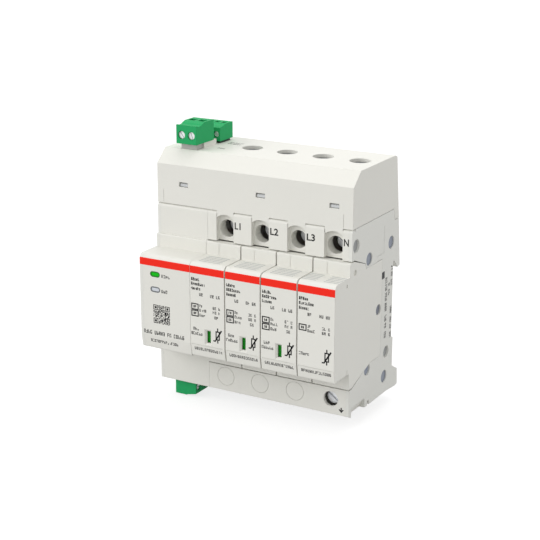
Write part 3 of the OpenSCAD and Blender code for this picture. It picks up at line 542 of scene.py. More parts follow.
HOUSING = MouldedFinish("housing_plastic", (228, 227, 220))
SIDE_COVER = MouldedFinish("side_cover_plastic", (226, 226, 220))
CARTRIDGE_PLASTIC = MouldedFinish("cartridge_plastic", (229, 228, 221), roughness=0.44)
# Darker grey of the grip's raised ribs: painted shade of the grooves between them.
GRIP_RIB_SHADE = MouldedFinish("grip_rib_painted_shade", (190, 192, 190), roughness=0.6, edge_mm=0.05)
TRAY_PLASTIC = MouldedFinish("tray_plastic", (206, 208, 209))
LUG_PLASTIC = SplitFinish(
    "back_plate_plastic", (224, 223, 217), beyond=(120, 124, 134), axis=Axis.X, split_mm=47.0)
PLUG_PLASTIC = MouldedFinish(
    "plug_plastic", (40, 164, 98), roughness=0.55, cloud=0.05, edge_mm=0.2, specular=0.12)
# The front header is its own pale grey. Beyond the split, the rear header is dark green: painted shadow
# under the rear plug's overhang.
HEADER_PLASTIC_AND_SHADOW = SplitFinish(
    "header_plastic_and_shadow", (186, 184, 181), beyond=(30, 58, 48), axis=Axis.Y, split_mm=-18.0)
DARK_PLASTIC = MouldedFinish("module_plastic", (38, 40, 43), roughness=0.45)
CLIP_PLASTIC = MouldedFinish("clip_plastic", (74, 75, 78))
CERAMIC = SplitFinish(
    "tube_ceramic", (228, 224, 208), roughness=0.28, coat=0.3, beyond=(190, 190, 186), split_mm=7.2,
    both_ways=True, metal=True)
VARISTOR_COAT = MouldedFinish(
    "varistor_coating", (44, 88, 138), roughness=0.3, cloud=0.08, coat=0.5, edge_mm=0.8)
FLAG_PLASTIC = SplitFinish(
    "flag_plastic", (0, 128, 14), roughness=0.4, specular=0.2, beyond=(196, 24, 18), split_mm=-8.4)
GUIDE_PLASTIC = SplitFinish(
    "guide_plastic", (214, 218, 224), roughness=0.25, specular=0.15, edge_mm=0.3,
    beyond=(0, 168, 6), split_mm=10.0, glow=0.3)
# Dark rims round the lights: painted shade of the gaps round the light guides.
CLEAR_LIGHT_GAP_SHADE = MouldedFinish("clear_light_painted_gap_shade", (112, 115, 118), roughness=0.4, edge_mm=0.05)
GREEN_LIGHT_GAP_SHADE = MouldedFinish("green_light_painted_gap_shade", (8, 112, 14), roughness=0.4, edge_mm=0.05)
# Grey floors laid inside two holes of the right side: painted shade deep in the holes.
HOLE_SHADE_GREY = MouldedFinish("hole_painted_shade", (158, 160, 160))
BOARD = BoardFinish("circuit_board", (24, 84, 50), (40, 112, 66))
RIVET = MetalFinish("rivet_steel", (134, 140, 152), roughness=0.5, metallic=0.6)
ZINC = MetalFinish("zinc_plating", (238, 240, 243), roughness=0.4, metallic=0.45)
NICKEL = MetalFinish("screw_nickel", (236, 237, 239), roughness=0.45, metallic=0.3)
COPPER = MetalFinish("contact_copper", (206, 150, 110), roughness=0.32)
BAND_INK = InkFinish("band_ink", (246, 46, 32), cloud=0.02, edge_mm=0.02, edge_light=0.0, specular=0.1)
DARK_INK = InkFinish("dark_ink", (18, 18, 20))
TEXT_INK = InkFinish("text_ink", (46, 46, 48))
FAINT_INK = InkFinish("faint_ink", (112, 112, 112), roughness=0.55, specular=0.35)


class Solid:
    """A mesh that is put together from closed bodies. Places are millimetres."""

    def __init__(self) -> None:
        """Start with nothing."""
        self.bm = bmesh.new()

    def take(self, mesh: bpy.types.Mesh) -> None:
        """Add a plain mesh, which is in metres, and free it."""
        self.bm.from_mesh(mesh)
        bpy.data.meshes.remove(mesh)

    def loop(self, points: list[Point]) -> Loop:
        """Add the vertices of a loop."""
        return [self.bm.verts.new(Vector(point) * MM) for point in points]

    def bridge(self, near: Loop, far: Loop) -> None:
        """Join two loops with a ring of faces; a pole is a loop of one vertex.

        Args:
            near: One loop.
            far: The other loop, in the same order.
        """
        count = max(len(near), len(far))
        for number in range(count):
            after = (number + 1) % count
            corners = (near[number % len(near)], near[after % len(near)],
                       far[after % len(far)], far[number % len(far)])
            self.bm.faces.new(list(dict.fromkeys(corners)))

    def prism(self, near: list[Point], far: list[Point]) -> None:
        """Add a closed prism between two matching outlines.

        Args:
            near: Corners of one end.
            far: Corners of the other end, in the same order.
        """
        first, last = self.loop(near), self.loop(far)
        self.bridge(first, last)
        self.bm.faces.new(first[::-1])
        self.bm.faces.new(last)

    def ring(self, inner: list[Point], outer: list[Point], depth: float) -> None:
        """Add a closed flat ring between two matching loops, carried along Y.

        Args:
            inner: Points of the inner loop.
            outer: Points of the outer loop, in the same order.
            depth: How deep the ring goes behind the loops.
        """
        loops = [self.loop([(x, y + shift, z) for x, y, z in loop])
                 for shift in (0.0, depth) for loop in (inner, outer)]
        for first, second in ((0, 1), (1, 3), (3, 2), (2, 0)):
            self.bridge(loops[first], loops[second])

    def turn(self, centre: Flat, profile: list[Flat], count: int = 32) -> None:
        """Add a closed body turned about an axis that runs along X.

        Args:
            centre: Y and Z of the axis.
            profile: X and radius of each corner, from one pole to the other.
            count: Steps round the axis.
        """
        turns = [2 * math.pi * step / count for step in range(count)]
        loops = [self.loop([(x, centre[0] + radius * math.cos(turn), centre[1] + radius * math.sin(turn))
                            for turn in (turns if radius else turns[:1])]) for x, radius in profile]
        for near, far in zip(loops, loops[1:]):
            self.bridge(near, far)


@dataclass(frozen=True)
class Stroke:
    """One stroke: its middle and size, in shares of the letter's box, and how often it is drawn."""

    x: float
    z: float
    wide: float
    high: float
    chance: float


MODULE = Stroke(0.5, 0.5, 1.06, 1.06, chance=0.56)
STRIP = Stroke(0.5, 0.5, 1.0, 1.0, chance=1.0)
THINNER = 0.6


def letter_strokes(weight: Weight) -> tuple[Stroke, ...]:
    """Strokes that a letter is drawn from.

    Args:
        weight: How thick they are.

    Returns:
        A left and two right uprights, and three level strokes, which are thinner.
    """
    wide, high = weight.value, weight.value * THINNER
    return (Stroke(wide / 2, 0.5, wide, 1.0, 0.85), Stroke(1 - wide / 2, 0.26, wide, 0.52, 0.7),
            Stroke(1 - wide / 2, 0.74, wide, 0.52, 0.5), Stroke(0.5, 1 - high / 2, 1.0, high, 0.6),
            Stroke(0.5, 0.5, 0.9, high, 0.45), Stroke(0.5, high / 2, 1.0, high, 0.6))


class StrokeTree:
    """Geometry Nodes tree that draws strokes, modules or strips at marked points.

    The points carry two attributes: "wide" and "high", the size of what is drawn there.
    """

    SEED_STEP = 7

    def __init__(self, name: str, strokes: tuple[Stroke, ...]) -> None:
        """Build the tree with one instancing branch for each stroke.

        Args:
            name: The tree's name.
            strokes: The strokes that it draws.
        """
        self.tree = new_group(name, "GeometryNodeTree", {
            "Points": "NodeSocketGeometry", "Depth": 0.00005, "Seed": 1, "Ink": "NodeSocketMaterial"},
            {"Geometry": "NodeSocketGeometry"})
        bench, nodes = Bench(self.tree), self.tree.nodes
        wide, high = (bench.add("GeometryNodeInputNamedAttribute", {"Name": label}, data_type="FLOAT")
                      .outputs["Attribute"] for label in ("wide", "high"))
        size = bench.add("ShaderNodeCombineXYZ", {"X": wide, "Y": 1.0, "Z": high}).outputs[0]
        join = nodes.new("GeometryNodeJoinGeometry")
        for number, stroke in enumerate(strokes):
            bench.feed(self._branch(bench, stroke, number, size), join.inputs[0])
        realize = bench.add("GeometryNodeRealizeInstances", {0: join.outputs[0]})
        paint = bench.add("GeometryNodeSetMaterial", {
            "Geometry": realize.outputs[0], "Material": nodes["in"].outputs["Ink"]})
        bench.feed(paint.outputs[0], nodes["out"].inputs[0])

    def _branch(self, bench: Bench, stroke: Stroke, number: int, size: Socket) -> Socket:
        """Add the nodes that draw one stroke on a random share of the points.

        Args:
            bench: The tree.
            stroke: The stroke to draw.
            number: Its place in the list, which moves the seed.
            size: The letter's size at each point.

        Returns:
            The socket of the drawn strokes.
        """
        given = self.tree.nodes["in"].outputs
        size_in = {"X": stroke.wide, "Y": given["Depth"], "Z": stroke.high}
        block = bench.add("ShaderNodeCombineXYZ", size_in).outputs[0]
        cube = bench.add("GeometryNodeMeshCube", {"Size": block})
        shift = bench.add("GeometryNodeTransform", {
            "Geometry": cube.outputs["Mesh"], "Translation": (stroke.x, 0, stroke.z)})
        seed = bench.math("ADD", given["Seed"], number * self.SEED_STEP)
        chance = bench.add("FunctionNodeRandomValue", {"Probability": stroke.chance, "Seed": seed},
                           data_type="BOOLEAN")
        chosen = next(socket for socket in chance.outputs if socket.type == "BOOLEAN")
        return bench.add("GeometryNodeInstanceOnPoints", {
            "Points": given["Points"], "Instance": shift.outputs[0], "Scale": size,
            "Selection": chosen}).outputs[0]

    def draw(self, sheet: "Sheet", ink: Material) -> bpy.types.Mesh:
        """Run the tree on a sheet's points.

        Args:
            sheet: The sheet that holds the points.
            ink: Its material.

        Returns:
            A plain mesh of the strokes, in metres.
        """
        mesh = bpy.data.meshes.new("points")
        mesh.from_pydata([Vector(point) * MM for point in sheet.points], [], [])
        for number, label in enumerate(("wide", "high")):
            values = mesh.attributes.new(label, "FLOAT", "POINT").data
            values.foreach_set("value", [size[number] * MM for size in sheet.sizes])
        carrier = stand("points", mesh)
        modifier = carrier.modifiers.new("strokes", "NODES")
        modifier.node_group = self.tree
        for label, value in (("Depth", sheet.depth * MM), ("Seed", sheet.seed), ("Ink", ink)):
            modifier[self._identifier(label)] = value
        drawn = drawn_mesh(carrier)
        carrier.modifiers.remove(modifier)
        bpy.data.objects.remove(carrier)
        return drawn

    def _identifier(self, label: str) -> str:
        """Identifier of the input socket with that name."""
        return next(item.identifier for item in self.tree.interface.items_tree
                    if item.item_type == "SOCKET" and item.in_out == "INPUT" and item.name == label)


@dataclass
class Sheet:
    """What is laid on one face in one finish: letters, modules or strips, and solid shapes.

    Places are millimetres across and up the face, from the sheet's corner.
    """

    name: str
    body: str
    ink: Finish
    face: Face = Face.FRONT
    plane: float = 0.0
    corner: Flat = (0.0, 0.0)
    weight: Weight = Weight.PLAIN
    depth: float = 0.06
    seed: int = 1
    crease: float = -15.7
    lean: float = 0.0
    letter_wide: float = 0.76
    small_high: float = 0.76
    tall_chance: float = 0.3
    points: list[Point] = field(default_factory=list)
    sizes: list[Flat] = field(default_factory=list)
    shapes: list[list[Flat]] = field(default_factory=list)

    SEED_STEP = 1000

    def tile(self, x: float, z: float, wide: float, high: float) -> None:
        """Add a letter, module or strip of this size, with its lower left corner there."""
        self.points.append((self.corner[0] + x, 0.0, self.corner[1] + z))
        self.sizes.append((wide, high))

    def row(self, x0: float, x1: float, z0: float, z1: float, gaps: tuple[int, ...] = (),
            capitals: bool = False, pitch: float = 0.72) -> "Sheet":
        """Lay a row of letters between two places.

        Args:
            x0: Left end of the row.
            x1: Right end of the row.
            z0: Base line.
            z1: Top of the capitals.
            gaps: Places of the word spaces, counted in letters.
            capitals: True where every letter is as tall as a capital.
            pitch: Width of a letter's place, as a share of its height.

        Returns:
            The sheet itself.
        """
        draw = random.Random(self.seed * self.SEED_STEP + len(self.points))
        count = max(2, round((x1 - x0) / (pitch * (z1 - z0))))
        step = (x1 - x0) / count
        for number in range(count):
            if number not in gaps:
                tall = capitals or number == 0 or draw.random() < self.tall_chance
                high = (z1 - z0) * (1.0 if tall else self.small_high)
                self.tile(x0 + number * step, z0, step * self.letter_wide, high)
        return self

    def rows(self, places: Rows, **how: object) -> "Sheet":
        """Lay several rows in the same way.

        Args:
            places: The ends, foot and top of each row.
            how: What else each row is given.

        Returns:
            This sheet.
        """
        for place in places:
            self.row(*place, **how)
        return self

    def shape(self, *corners: Flat) -> "Sheet":
        """Add a solid shape with these corners."""
        self.shapes.append([(self.corner[0] + x, self.corner[1] + z) for x, z in corners])
        return self

    def bar(self, x0: float, x1: float, z0: float, z1: float) -> "Sheet":
        """Add a solid bar."""
        return self.shape((x0, z0), (x1, z0), (x1, z1), (x0, z1))

    def box(self, x0: float, x1: float, z0: float, z1: float, line: float) -> "Sheet":
        """Add the outline of a box, its line inside the given corners."""
        self.bar(x0, x1, z0, z0 + line).bar(x0, x1, z1 - line, z1)
        return self.bar(x0, x0 + line, z0 + line, z1 - line).bar(x1 - line, x1, z0 + line, z1 - line)

    def stood(self) -> Matrix:
        """Stand the sheet on its face.

        Returns:
            The transform that takes it there.
        """
        if self.face is Face.RIGHT:
            return moved(x=self.plane) @ turned(90, "Z") @ turned(-90, "Y")
        if self.face is Face.TOP:
            return moved(z=self.plane) @ turned(-90, "X")
        if self.face is Face.FRONT:
            return moved(y=self.plane)
        hinge = moved(y=self.plane) @ moved(z=self.crease)
        return hinge @ turned(self.lean, "X") @ moved(z=-self.crease)


class Workshop:
    """Makes the pieces: it keeps the Geometry Nodes trees and one material for each finish."""

    def __init__(self) -> None:
        """Build the surface groups, and the trees for letters, code modules and strips."""
        self.groups = SurfaceGroups()
        self.made: dict[str, Material] = {}
        self.letters = {weight: StrokeTree(f"{weight.name.title()}Strokes", letter_strokes(weight))
                        for weight in Weight}
        self.code = StrokeTree("CodeModules", (MODULE,))
        self.strips = StrokeTree("NoseStrips", (STRIP,))

    def material(self, finish: Finish) -> Material:
        """Find the material of a finish, which is built on first use.

        Args:
            finish: The finish.

        Returns:
            Its one material.
        """
        if finish.name not in self.made:
            self.made[finish.name] = finish.material(self.groups)
        return self.made[finish.name]

    def piece(self, name: str, solid: Solid, finish: Finish, body: str) -> None:
        """Turn a solid into a finished piece that rides on a body.

        Args:
            name: The piece's name.
            solid: Its shape, in place; used up here.
            finish: Its finish.
            body: The body that it rides on.
        """
        bmesh.ops.recalc_face_normals(solid.bm, faces=solid.bm.faces)
        mesh = bpy.data.meshes.new(name)
        solid.bm.to_mesh(mesh)
        solid.bm.free()
        mesh.materials.clear()
        mesh.materials.append(self.material(finish))
        made = stand(name, mesh)
        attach(made, body)
        LOG.info("%s: %d faces on %s", name, len(mesh.polygons), body)

    def print(self, sheet: Sheet, tree: StrokeTree | None = None) -> None:
        """Turn a sheet into one thin raised piece on its face.

        Args:
            sheet: The sheet to print.
            tree: The tree that draws its points, where it isn't the letters' own.
        """
        solid = Solid()
        if sheet.points:
            solid.take((tree or self.letters[sheet.weight]).draw(sheet, self.material(sheet.ink)))
        for corners in sheet.shapes:
            solid.prism(*([(x, y, z) for x, z in corners] for y in (-sheet.depth / 2, sheet.depth / 2)))
        solid.bm.transform(sheet.stood())
        self.piece(sheet.name, solid, sheet.ink, sheet.body)


@dataclass
class SubAssembly:
    """Pieces of the part that are finished together and ride on one body."""

    shop: Workshop

    body = "base"

    def finishes(self) -> dict[str, Finish]:
        """The finish of each CAD node."""
        raise NotImplementedError

    def build(self) -> None:
        """Add pieces to the nodes; nothing unless a sub-assembly says so."""

    def dress(self) -> set[str]:
        """Give every CAD node its material.

        Returns:
            The names of the nodes that were dressed.
        """
        for name, finish in self.finishes().items():
            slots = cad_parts[name].data.materials
            slots.clear()
            slots.append(self.shop.material(finish))
            LOG.info("%s: %s", name, finish.name)
        return set(self.finishes())

    def sheet(self, name: str, ink: Finish, **settings: object) -> Sheet:
        """Start a sheet that rides on this body."""
        return Sheet(name, self.body, ink, **settings)


@dataclass
class NosedAssembly(SubAssembly):
    """A sub-assembly with the nose that the cartridges and the monitoring unit share."""

    front: float = -57.8
    top: float = 22.15
    edge_r: float = 2.4
    band_low: float = 17.2
    band_high: float = 20.5
    band_edge: float = 0.03
    band_proud: float = 0.035
    band_sunk: float = 0.06
    band_steps: int = 5

    def band(self, name: str, *ends: float) -> None:
        """Build the red band that wraps the nose's upper edge.

        Args:
            name: The piece's name.
            ends: Its left and right end.
        """
        cy, cz = self.front + self.edge_r, self.top - self.edge_r
        reach = math.asin((self.band_high - cz) / self.edge_r)
        turns = [reach * step / self.band_steps for step in range(self.band_steps + 1)]
        outline = [(self.front - self.band_proud, self.band_low)]
        for grow, order in ((self.band_proud, turns), (-self.band_sunk, turns[::-1])):
            radius = self.edge_r + grow
            outline += [(cy - radius * math.cos(turn), cz + radius * math.sin(turn)) for turn in order]
        outline += [(self.front + self.band_sunk, self.band_low)]
        solid = Solid()
        solid.prism(*([(x, y, z) for y, z in outline] for x in ends))
        self.shop.piece(name, solid, BAND_INK, self.body)


@dataclass(frozen=True)
class Strips:
    """Level strips on top of a nose, from front to back: their places, width and height."""

    start: float
    pitch: float
    wide: float
    proud: float
    deep: float
    count: int = 5


@dataclass
class Cartridge(NosedAssembly):
    """A plug-in cartridge with its band, its print, its grip, whose darker ribs are painted shade of
    grooves, and what it holds.

    Places are millimetres from the print's left margin. A row is its left and right end, its base
    line and the top of its capitals.
    """

    pole: Pole = Pole.L1
    margin: float = 0.33
    lean: float = 10.06
    seed: int = 11
    bold_rows: Rows = ((0.3, 4.7, 13.9, 15.3), (0.3, 7.4, 11.8, 13.2), (0.3, 5.1, 9.7, 11.1))
    bold_pitch: float = 0.62
    rating_rows: Rows = (
        (4.4, 6.4, 7.2, 8.6), (10.0, 15.1, 7.2, 8.6), (4.4, 6.0, 2.0, 3.3), (11.3, 15.2, 2.0, 3.3),
        (4.4, 8.1, 0.0, 1.3), (11.3, 15.2, 0.0, 1.3))
    line_rows: Rows = (
        (4.4, 7.5, -2.3, -1.0), (12.1, 15.2, -2.3, -1.0), (1.1, 4.2, -9.0, -7.6),
        (0.1, 6.0, -11.2, -9.8))
    neutral_rows: Rows = ((0.4, 5.5, -10.6, -9.2),)
    values_from: float = 9.0
    foot_row: tuple[float, ...] = (1.5, 15.9, -18.3, -16.9)
    line_boxes: tuple[float, ...] = (0.5, -2.6)
    neutral_boxes: tuple[float, ...] = (0.3,)
    box_ends: Flat = (0.2, 4.0)
    box_high: float = 3.0
    box_line: float = 0.5
    box_word: tuple[float, ...] = (1.35, 2.95, 0.95, 2.05)
    symbol_at: Flat = (13.7, -9.8)
    symbol_half: Flat = (1.1, 2.1)
    symbol_line: float = 0.55
    symbol_wire: Flat = (0.28, 3.5)
    symbol_slash: tuple[Flat, ...] = (
        (-2.3, -2.9), (-1.1, -2.9), (2.3, 2.5), (1.65, 2.8), (-1.45, -2.3), (-2.3, -2.3))
    line_fields: tuple[Flat, ...] = ((2.3, 6.3), (6.6, 13.2))
    neutral_fields: tuple[Flat, ...] = ((-0.25, 6.4), (10.1, 17.1))
    ribs: Strips = Strips(start=-54.6, pitch=1.95, wide=0.5, proud=0.12, deep=0.24)
    closers: Strips = Strips(start=-53.22, pitch=1.5, wide=0.34, proud=0.01, deep=0.3)
    closer_end: float = 0.85

    @property
    def body(self) -> str:
        """The cartridge itself."""
        return f"cartridge_{self.pole.value}"

    def finishes(self) -> dict[str, Finish]:
        """The cartridge's own shell, plate and blades, and the part that protects.

        Returns:
            The finish of each node.
        """
        mark = self.pole.value
        made: dict[str, Finish] = {
            self.body: CARTRIDGE_PLASTIC, f"back_plate_{mark}": LUG_PLASTIC, f"blades_{mark}": COPPER}
        if self.pole.is_line:
            return made | {f"varistor_{mark}": VARISTOR_COAT, f"flag_{mark}": FLAG_PLASTIC}
        return made | {"gas_tube": CERAMIC}

    def build(self) -> None:
        """Build the band, the print, the grip's darker ribs, which are painted shade of grooves, and
        what closes the CAD's finer grooves.
        """
        left, right = (corner.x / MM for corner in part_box(self.body))
        self.band(f"band_{self.pole.value}", left + self.band_edge, right - self.band_edge)
        x, line = left + self.margin, self.pole.is_line
        bold = self._sheet("print_bold", DARK_INK, x, weight=Weight.BOLD)
        bold.rows(self.bold_rows, pitch=self.bold_pitch)
        word0, word1, base, cap = self.box_word
        for low in self.line_boxes if line else self.neutral_boxes:
            bold.box(*self.box_ends, low, low + self.box_high, self.box_line)
            bold.row(word0, word1, low + base, low + cap, capitals=True)
        self.shop.print(bold)
        plain = self._sheet("print_plain", TEXT_INK, x)
        for row in self.rating_rows + (self.line_rows if line else self.neutral_rows):
            value = row[0] > self.values_from
            plain.row(*row, gaps=(2,) if value else (), capitals=value)
        self.shop.print(plain)
        foot = self._sheet("print_foot", TEXT_INK, x, face=Face.FOOT, lean=self.lean)
        self.shop.print(foot.row(*self.foot_row, capitals=True))
        self._symbol(x)
        fields = self.line_fields if line else self.neutral_fields
        # The grip's ribs are raised a little and darker grey: painted shade of grooves.
        self._strips("grip", GRIP_RIB_SHADE, self.ribs, x, fields)
        whole = (self.closer_end, right - left - self.closer_end)
        self._strips("nose_top", CARTRIDGE_PLASTIC, self.closers, left, (whole,))

    def _sheet(self, name: str, ink: Finish, x: float, z: float = 0.0, **settings: object) -> Sheet:
        """Start a sheet on the nose's front.

        Args:
            name: The piece's name, before the pole.
            ink: Its finish.
            x: Where its corner is, from the left.
            z: How high its corner is.
            settings: The sheet's other fields.

        Returns:
            The empty sheet.
        """
        seed = self.seed + list(Pole).index(self.pole)
        return self.sheet(f"{name}_{self.pole.value}", ink, plane=self.front, corner=(x, z),
                          seed=seed, **settings)

    def _symbol(self, x: float) -> None:
        """Print the circuit symbol of a protective element: a box that a slanted line crosses.

        Args:
            x: Left edge of the print.
        """
        (wide, high), (thin, reach) = self.symbol_half, self.symbol_wire
        sheet = self._sheet("symbol", DARK_INK, x + self.symbol_at[0], self.symbol_at[1])
        sheet.box(-wide, wide, -high, high, self.symbol_line)
        sheet.bar(-thin, thin, high, reach).bar(-thin, thin, -reach, -high).shape(*self.symbol_slash)
        self.shop.print(sheet)

    def _strips(self, name: str, finish: Finish, strips: Strips, x: float,
                fields: tuple[Flat, ...]) -> None:
        """Lay fields of strips on top of the nose.

        Args:
            name: The piece's name, before the pole.
            finish: Its finish.
            strips: The places and sizes of the strips.
            x: Where the fields are measured from.
            fields: The left and right end of each field.
        """
        sheet = self.sheet(f"{name}_{self.pole.value}", finish, face=Face.TOP, corner=(x, strips.start),
                           plane=self.top + strips.proud - strips.deep / 2, depth=strips.deep)
        for x0, x1 in fields:
            for number in range(strips.count):
                sheet.tile(x0, number * strips.pitch, x1 - x0, strips.wide)
        self.shop.print(sheet, self.shop.strips)


@dataclass
class MonitoringUnit(NosedAssembly):
    """The monitoring block: housing, boards and light guides, with its band, its dark rims, which are
    painted shade of the gaps round the lights, and its print.
    """

    lean: float = 9.19
    seed: int = 5
    caption_rows: Rows = ((-37.3, -32.7, 12.4, 13.9), (-37.5, -34.1, 5.3, 6.8))
    title_row: tuple[float, ...] = (-47.4, -25.6, -15.0, -13.2)
    title_gaps: tuple[int, ...] = (4, 10, 13)
    title_pitch: float = 0.64
    foot_row: tuple[float, ...] = (-43.9, -29.2, -18.8, -17.4)
    lights: tuple[tuple[float, Finish], ...] = ((6.4, CLEAR_LIGHT_GAP_SHADE), (13.5, GREEN_LIGHT_GAP_SHADE))
    light_size: Flat = (4.4, 1.8)
    rim_grow: Flat = (-0.12, 0.42)
    rim_proud: float = 0.03
    rim_deep: float = 0.2
    rim_step: int = 22
    code_at: Flat = (-42.0, -9.4)
    code_size: float = 8.7
    code_seed: int = 3
    modules: int = 25
    marker: int = 7
    marker_core: tuple[int, int] = (2, 5)

    def finishes(self) -> dict[str, Finish]:
        """Housing, cover, guides and electronics."""
        return {"unit_housing": HOUSING, "unit_cover": SIDE_COVER, "light_guides": GUIDE_PLASTIC,
                "main_board": BOARD, "power_module": DARK_PLASTIC, "board_link": DARK_PLASTIC}

    def build(self) -> None:
        """Build the band, the rims that paint the shade of the gaps round the lights, the print and the
        code square.
        """
        left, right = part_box("unit_cover")[0].x / MM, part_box("unit_housing")[1].x / MM
        self.band("band_unit", left + self.band_edge, right)
        # Each rim is a dark ring just in front of the nose: painted shade of the gap round its light.
        for height, finish in self.lights:
            rim = Solid()
            rim.ring(*(self._oblong(height, grow) for grow in self.rim_grow), self.rim_deep)
            self.shop.piece(f"rim_{finish.name}", rim, finish, self.body)
        captions = self.sheet("print_unit", TEXT_INK, plane=self.front, seed=self.seed)
        self.shop.print(captions.rows(self.caption_rows))
        title = self.sheet("print_title", DARK_INK, plane=self.front, seed=self.seed + 1)
        title.row(*self.title_row, gaps=self.title_gaps, capitals=True, pitch=self.title_pitch)
        self.shop.print(title)
        foot = self.sheet("print_foot_unit", TEXT_INK, face=Face.FOOT, plane=self.front,
                          seed=self.seed + 2, lean=self.lean)
        self.shop.print(foot.row(*self.foot_row, capitals=True))
        self.shop.print(self._code(), self.shop.code)

    def _oblong(self, height: float, grow: float) -> list[Point]:
        """Outline of a light with round ends, just in front of the nose.

        Args:
            height: Where the light is, above the rail's centre.
            grow: How far the outline lies outside the light.

        Returns:
            The outline's points.
        """
        left, (wide, tall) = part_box("light_guides")[0].x / MM, self.light_size
        radius, y = tall / 2 + grow, self.front - self.rim_proud
        points = []
        for x, start in ((left + wide - tall / 2, 0), (left + tall / 2, 180)):
            for turn in map(math.radians, range(start, start + 181, self.rim_step)):
                points.append((x + radius * math.sin(turn), y, height + radius * math.cos(turn)))
        return points

    def _code(self) -> Sheet:
        """The code square: three corner marks and a random field of modules.

        Returns:
            The square, laid out but not printed yet.
        """
        cell, wide = self.code_size / self.modules, self.marker
        last = self.modules - wide
        corners = ((0, last), (last, last), (0, 0))
        sheet = self.sheet("code_square", DARK_INK, plane=self.front, corner=self.code_at,
                           seed=self.code_seed)
        for column in range(self.modules):
            for row in range(self.modules):
                if not any(c - 1 <= column <= c + wide and r - 1 <= row <= r + wide for c, r in corners):
                    sheet.tile(column * cell, row * cell, cell, cell)
        near, far = (number * cell for number in self.marker_core)
        for x, z in ((column * cell, row * cell) for column, row in corners):
            sheet.box(x, x + wide * cell, z, z + wide * cell, cell)
            sheet.bar(x + near, x + far, z + near, z + far)
        return sheet


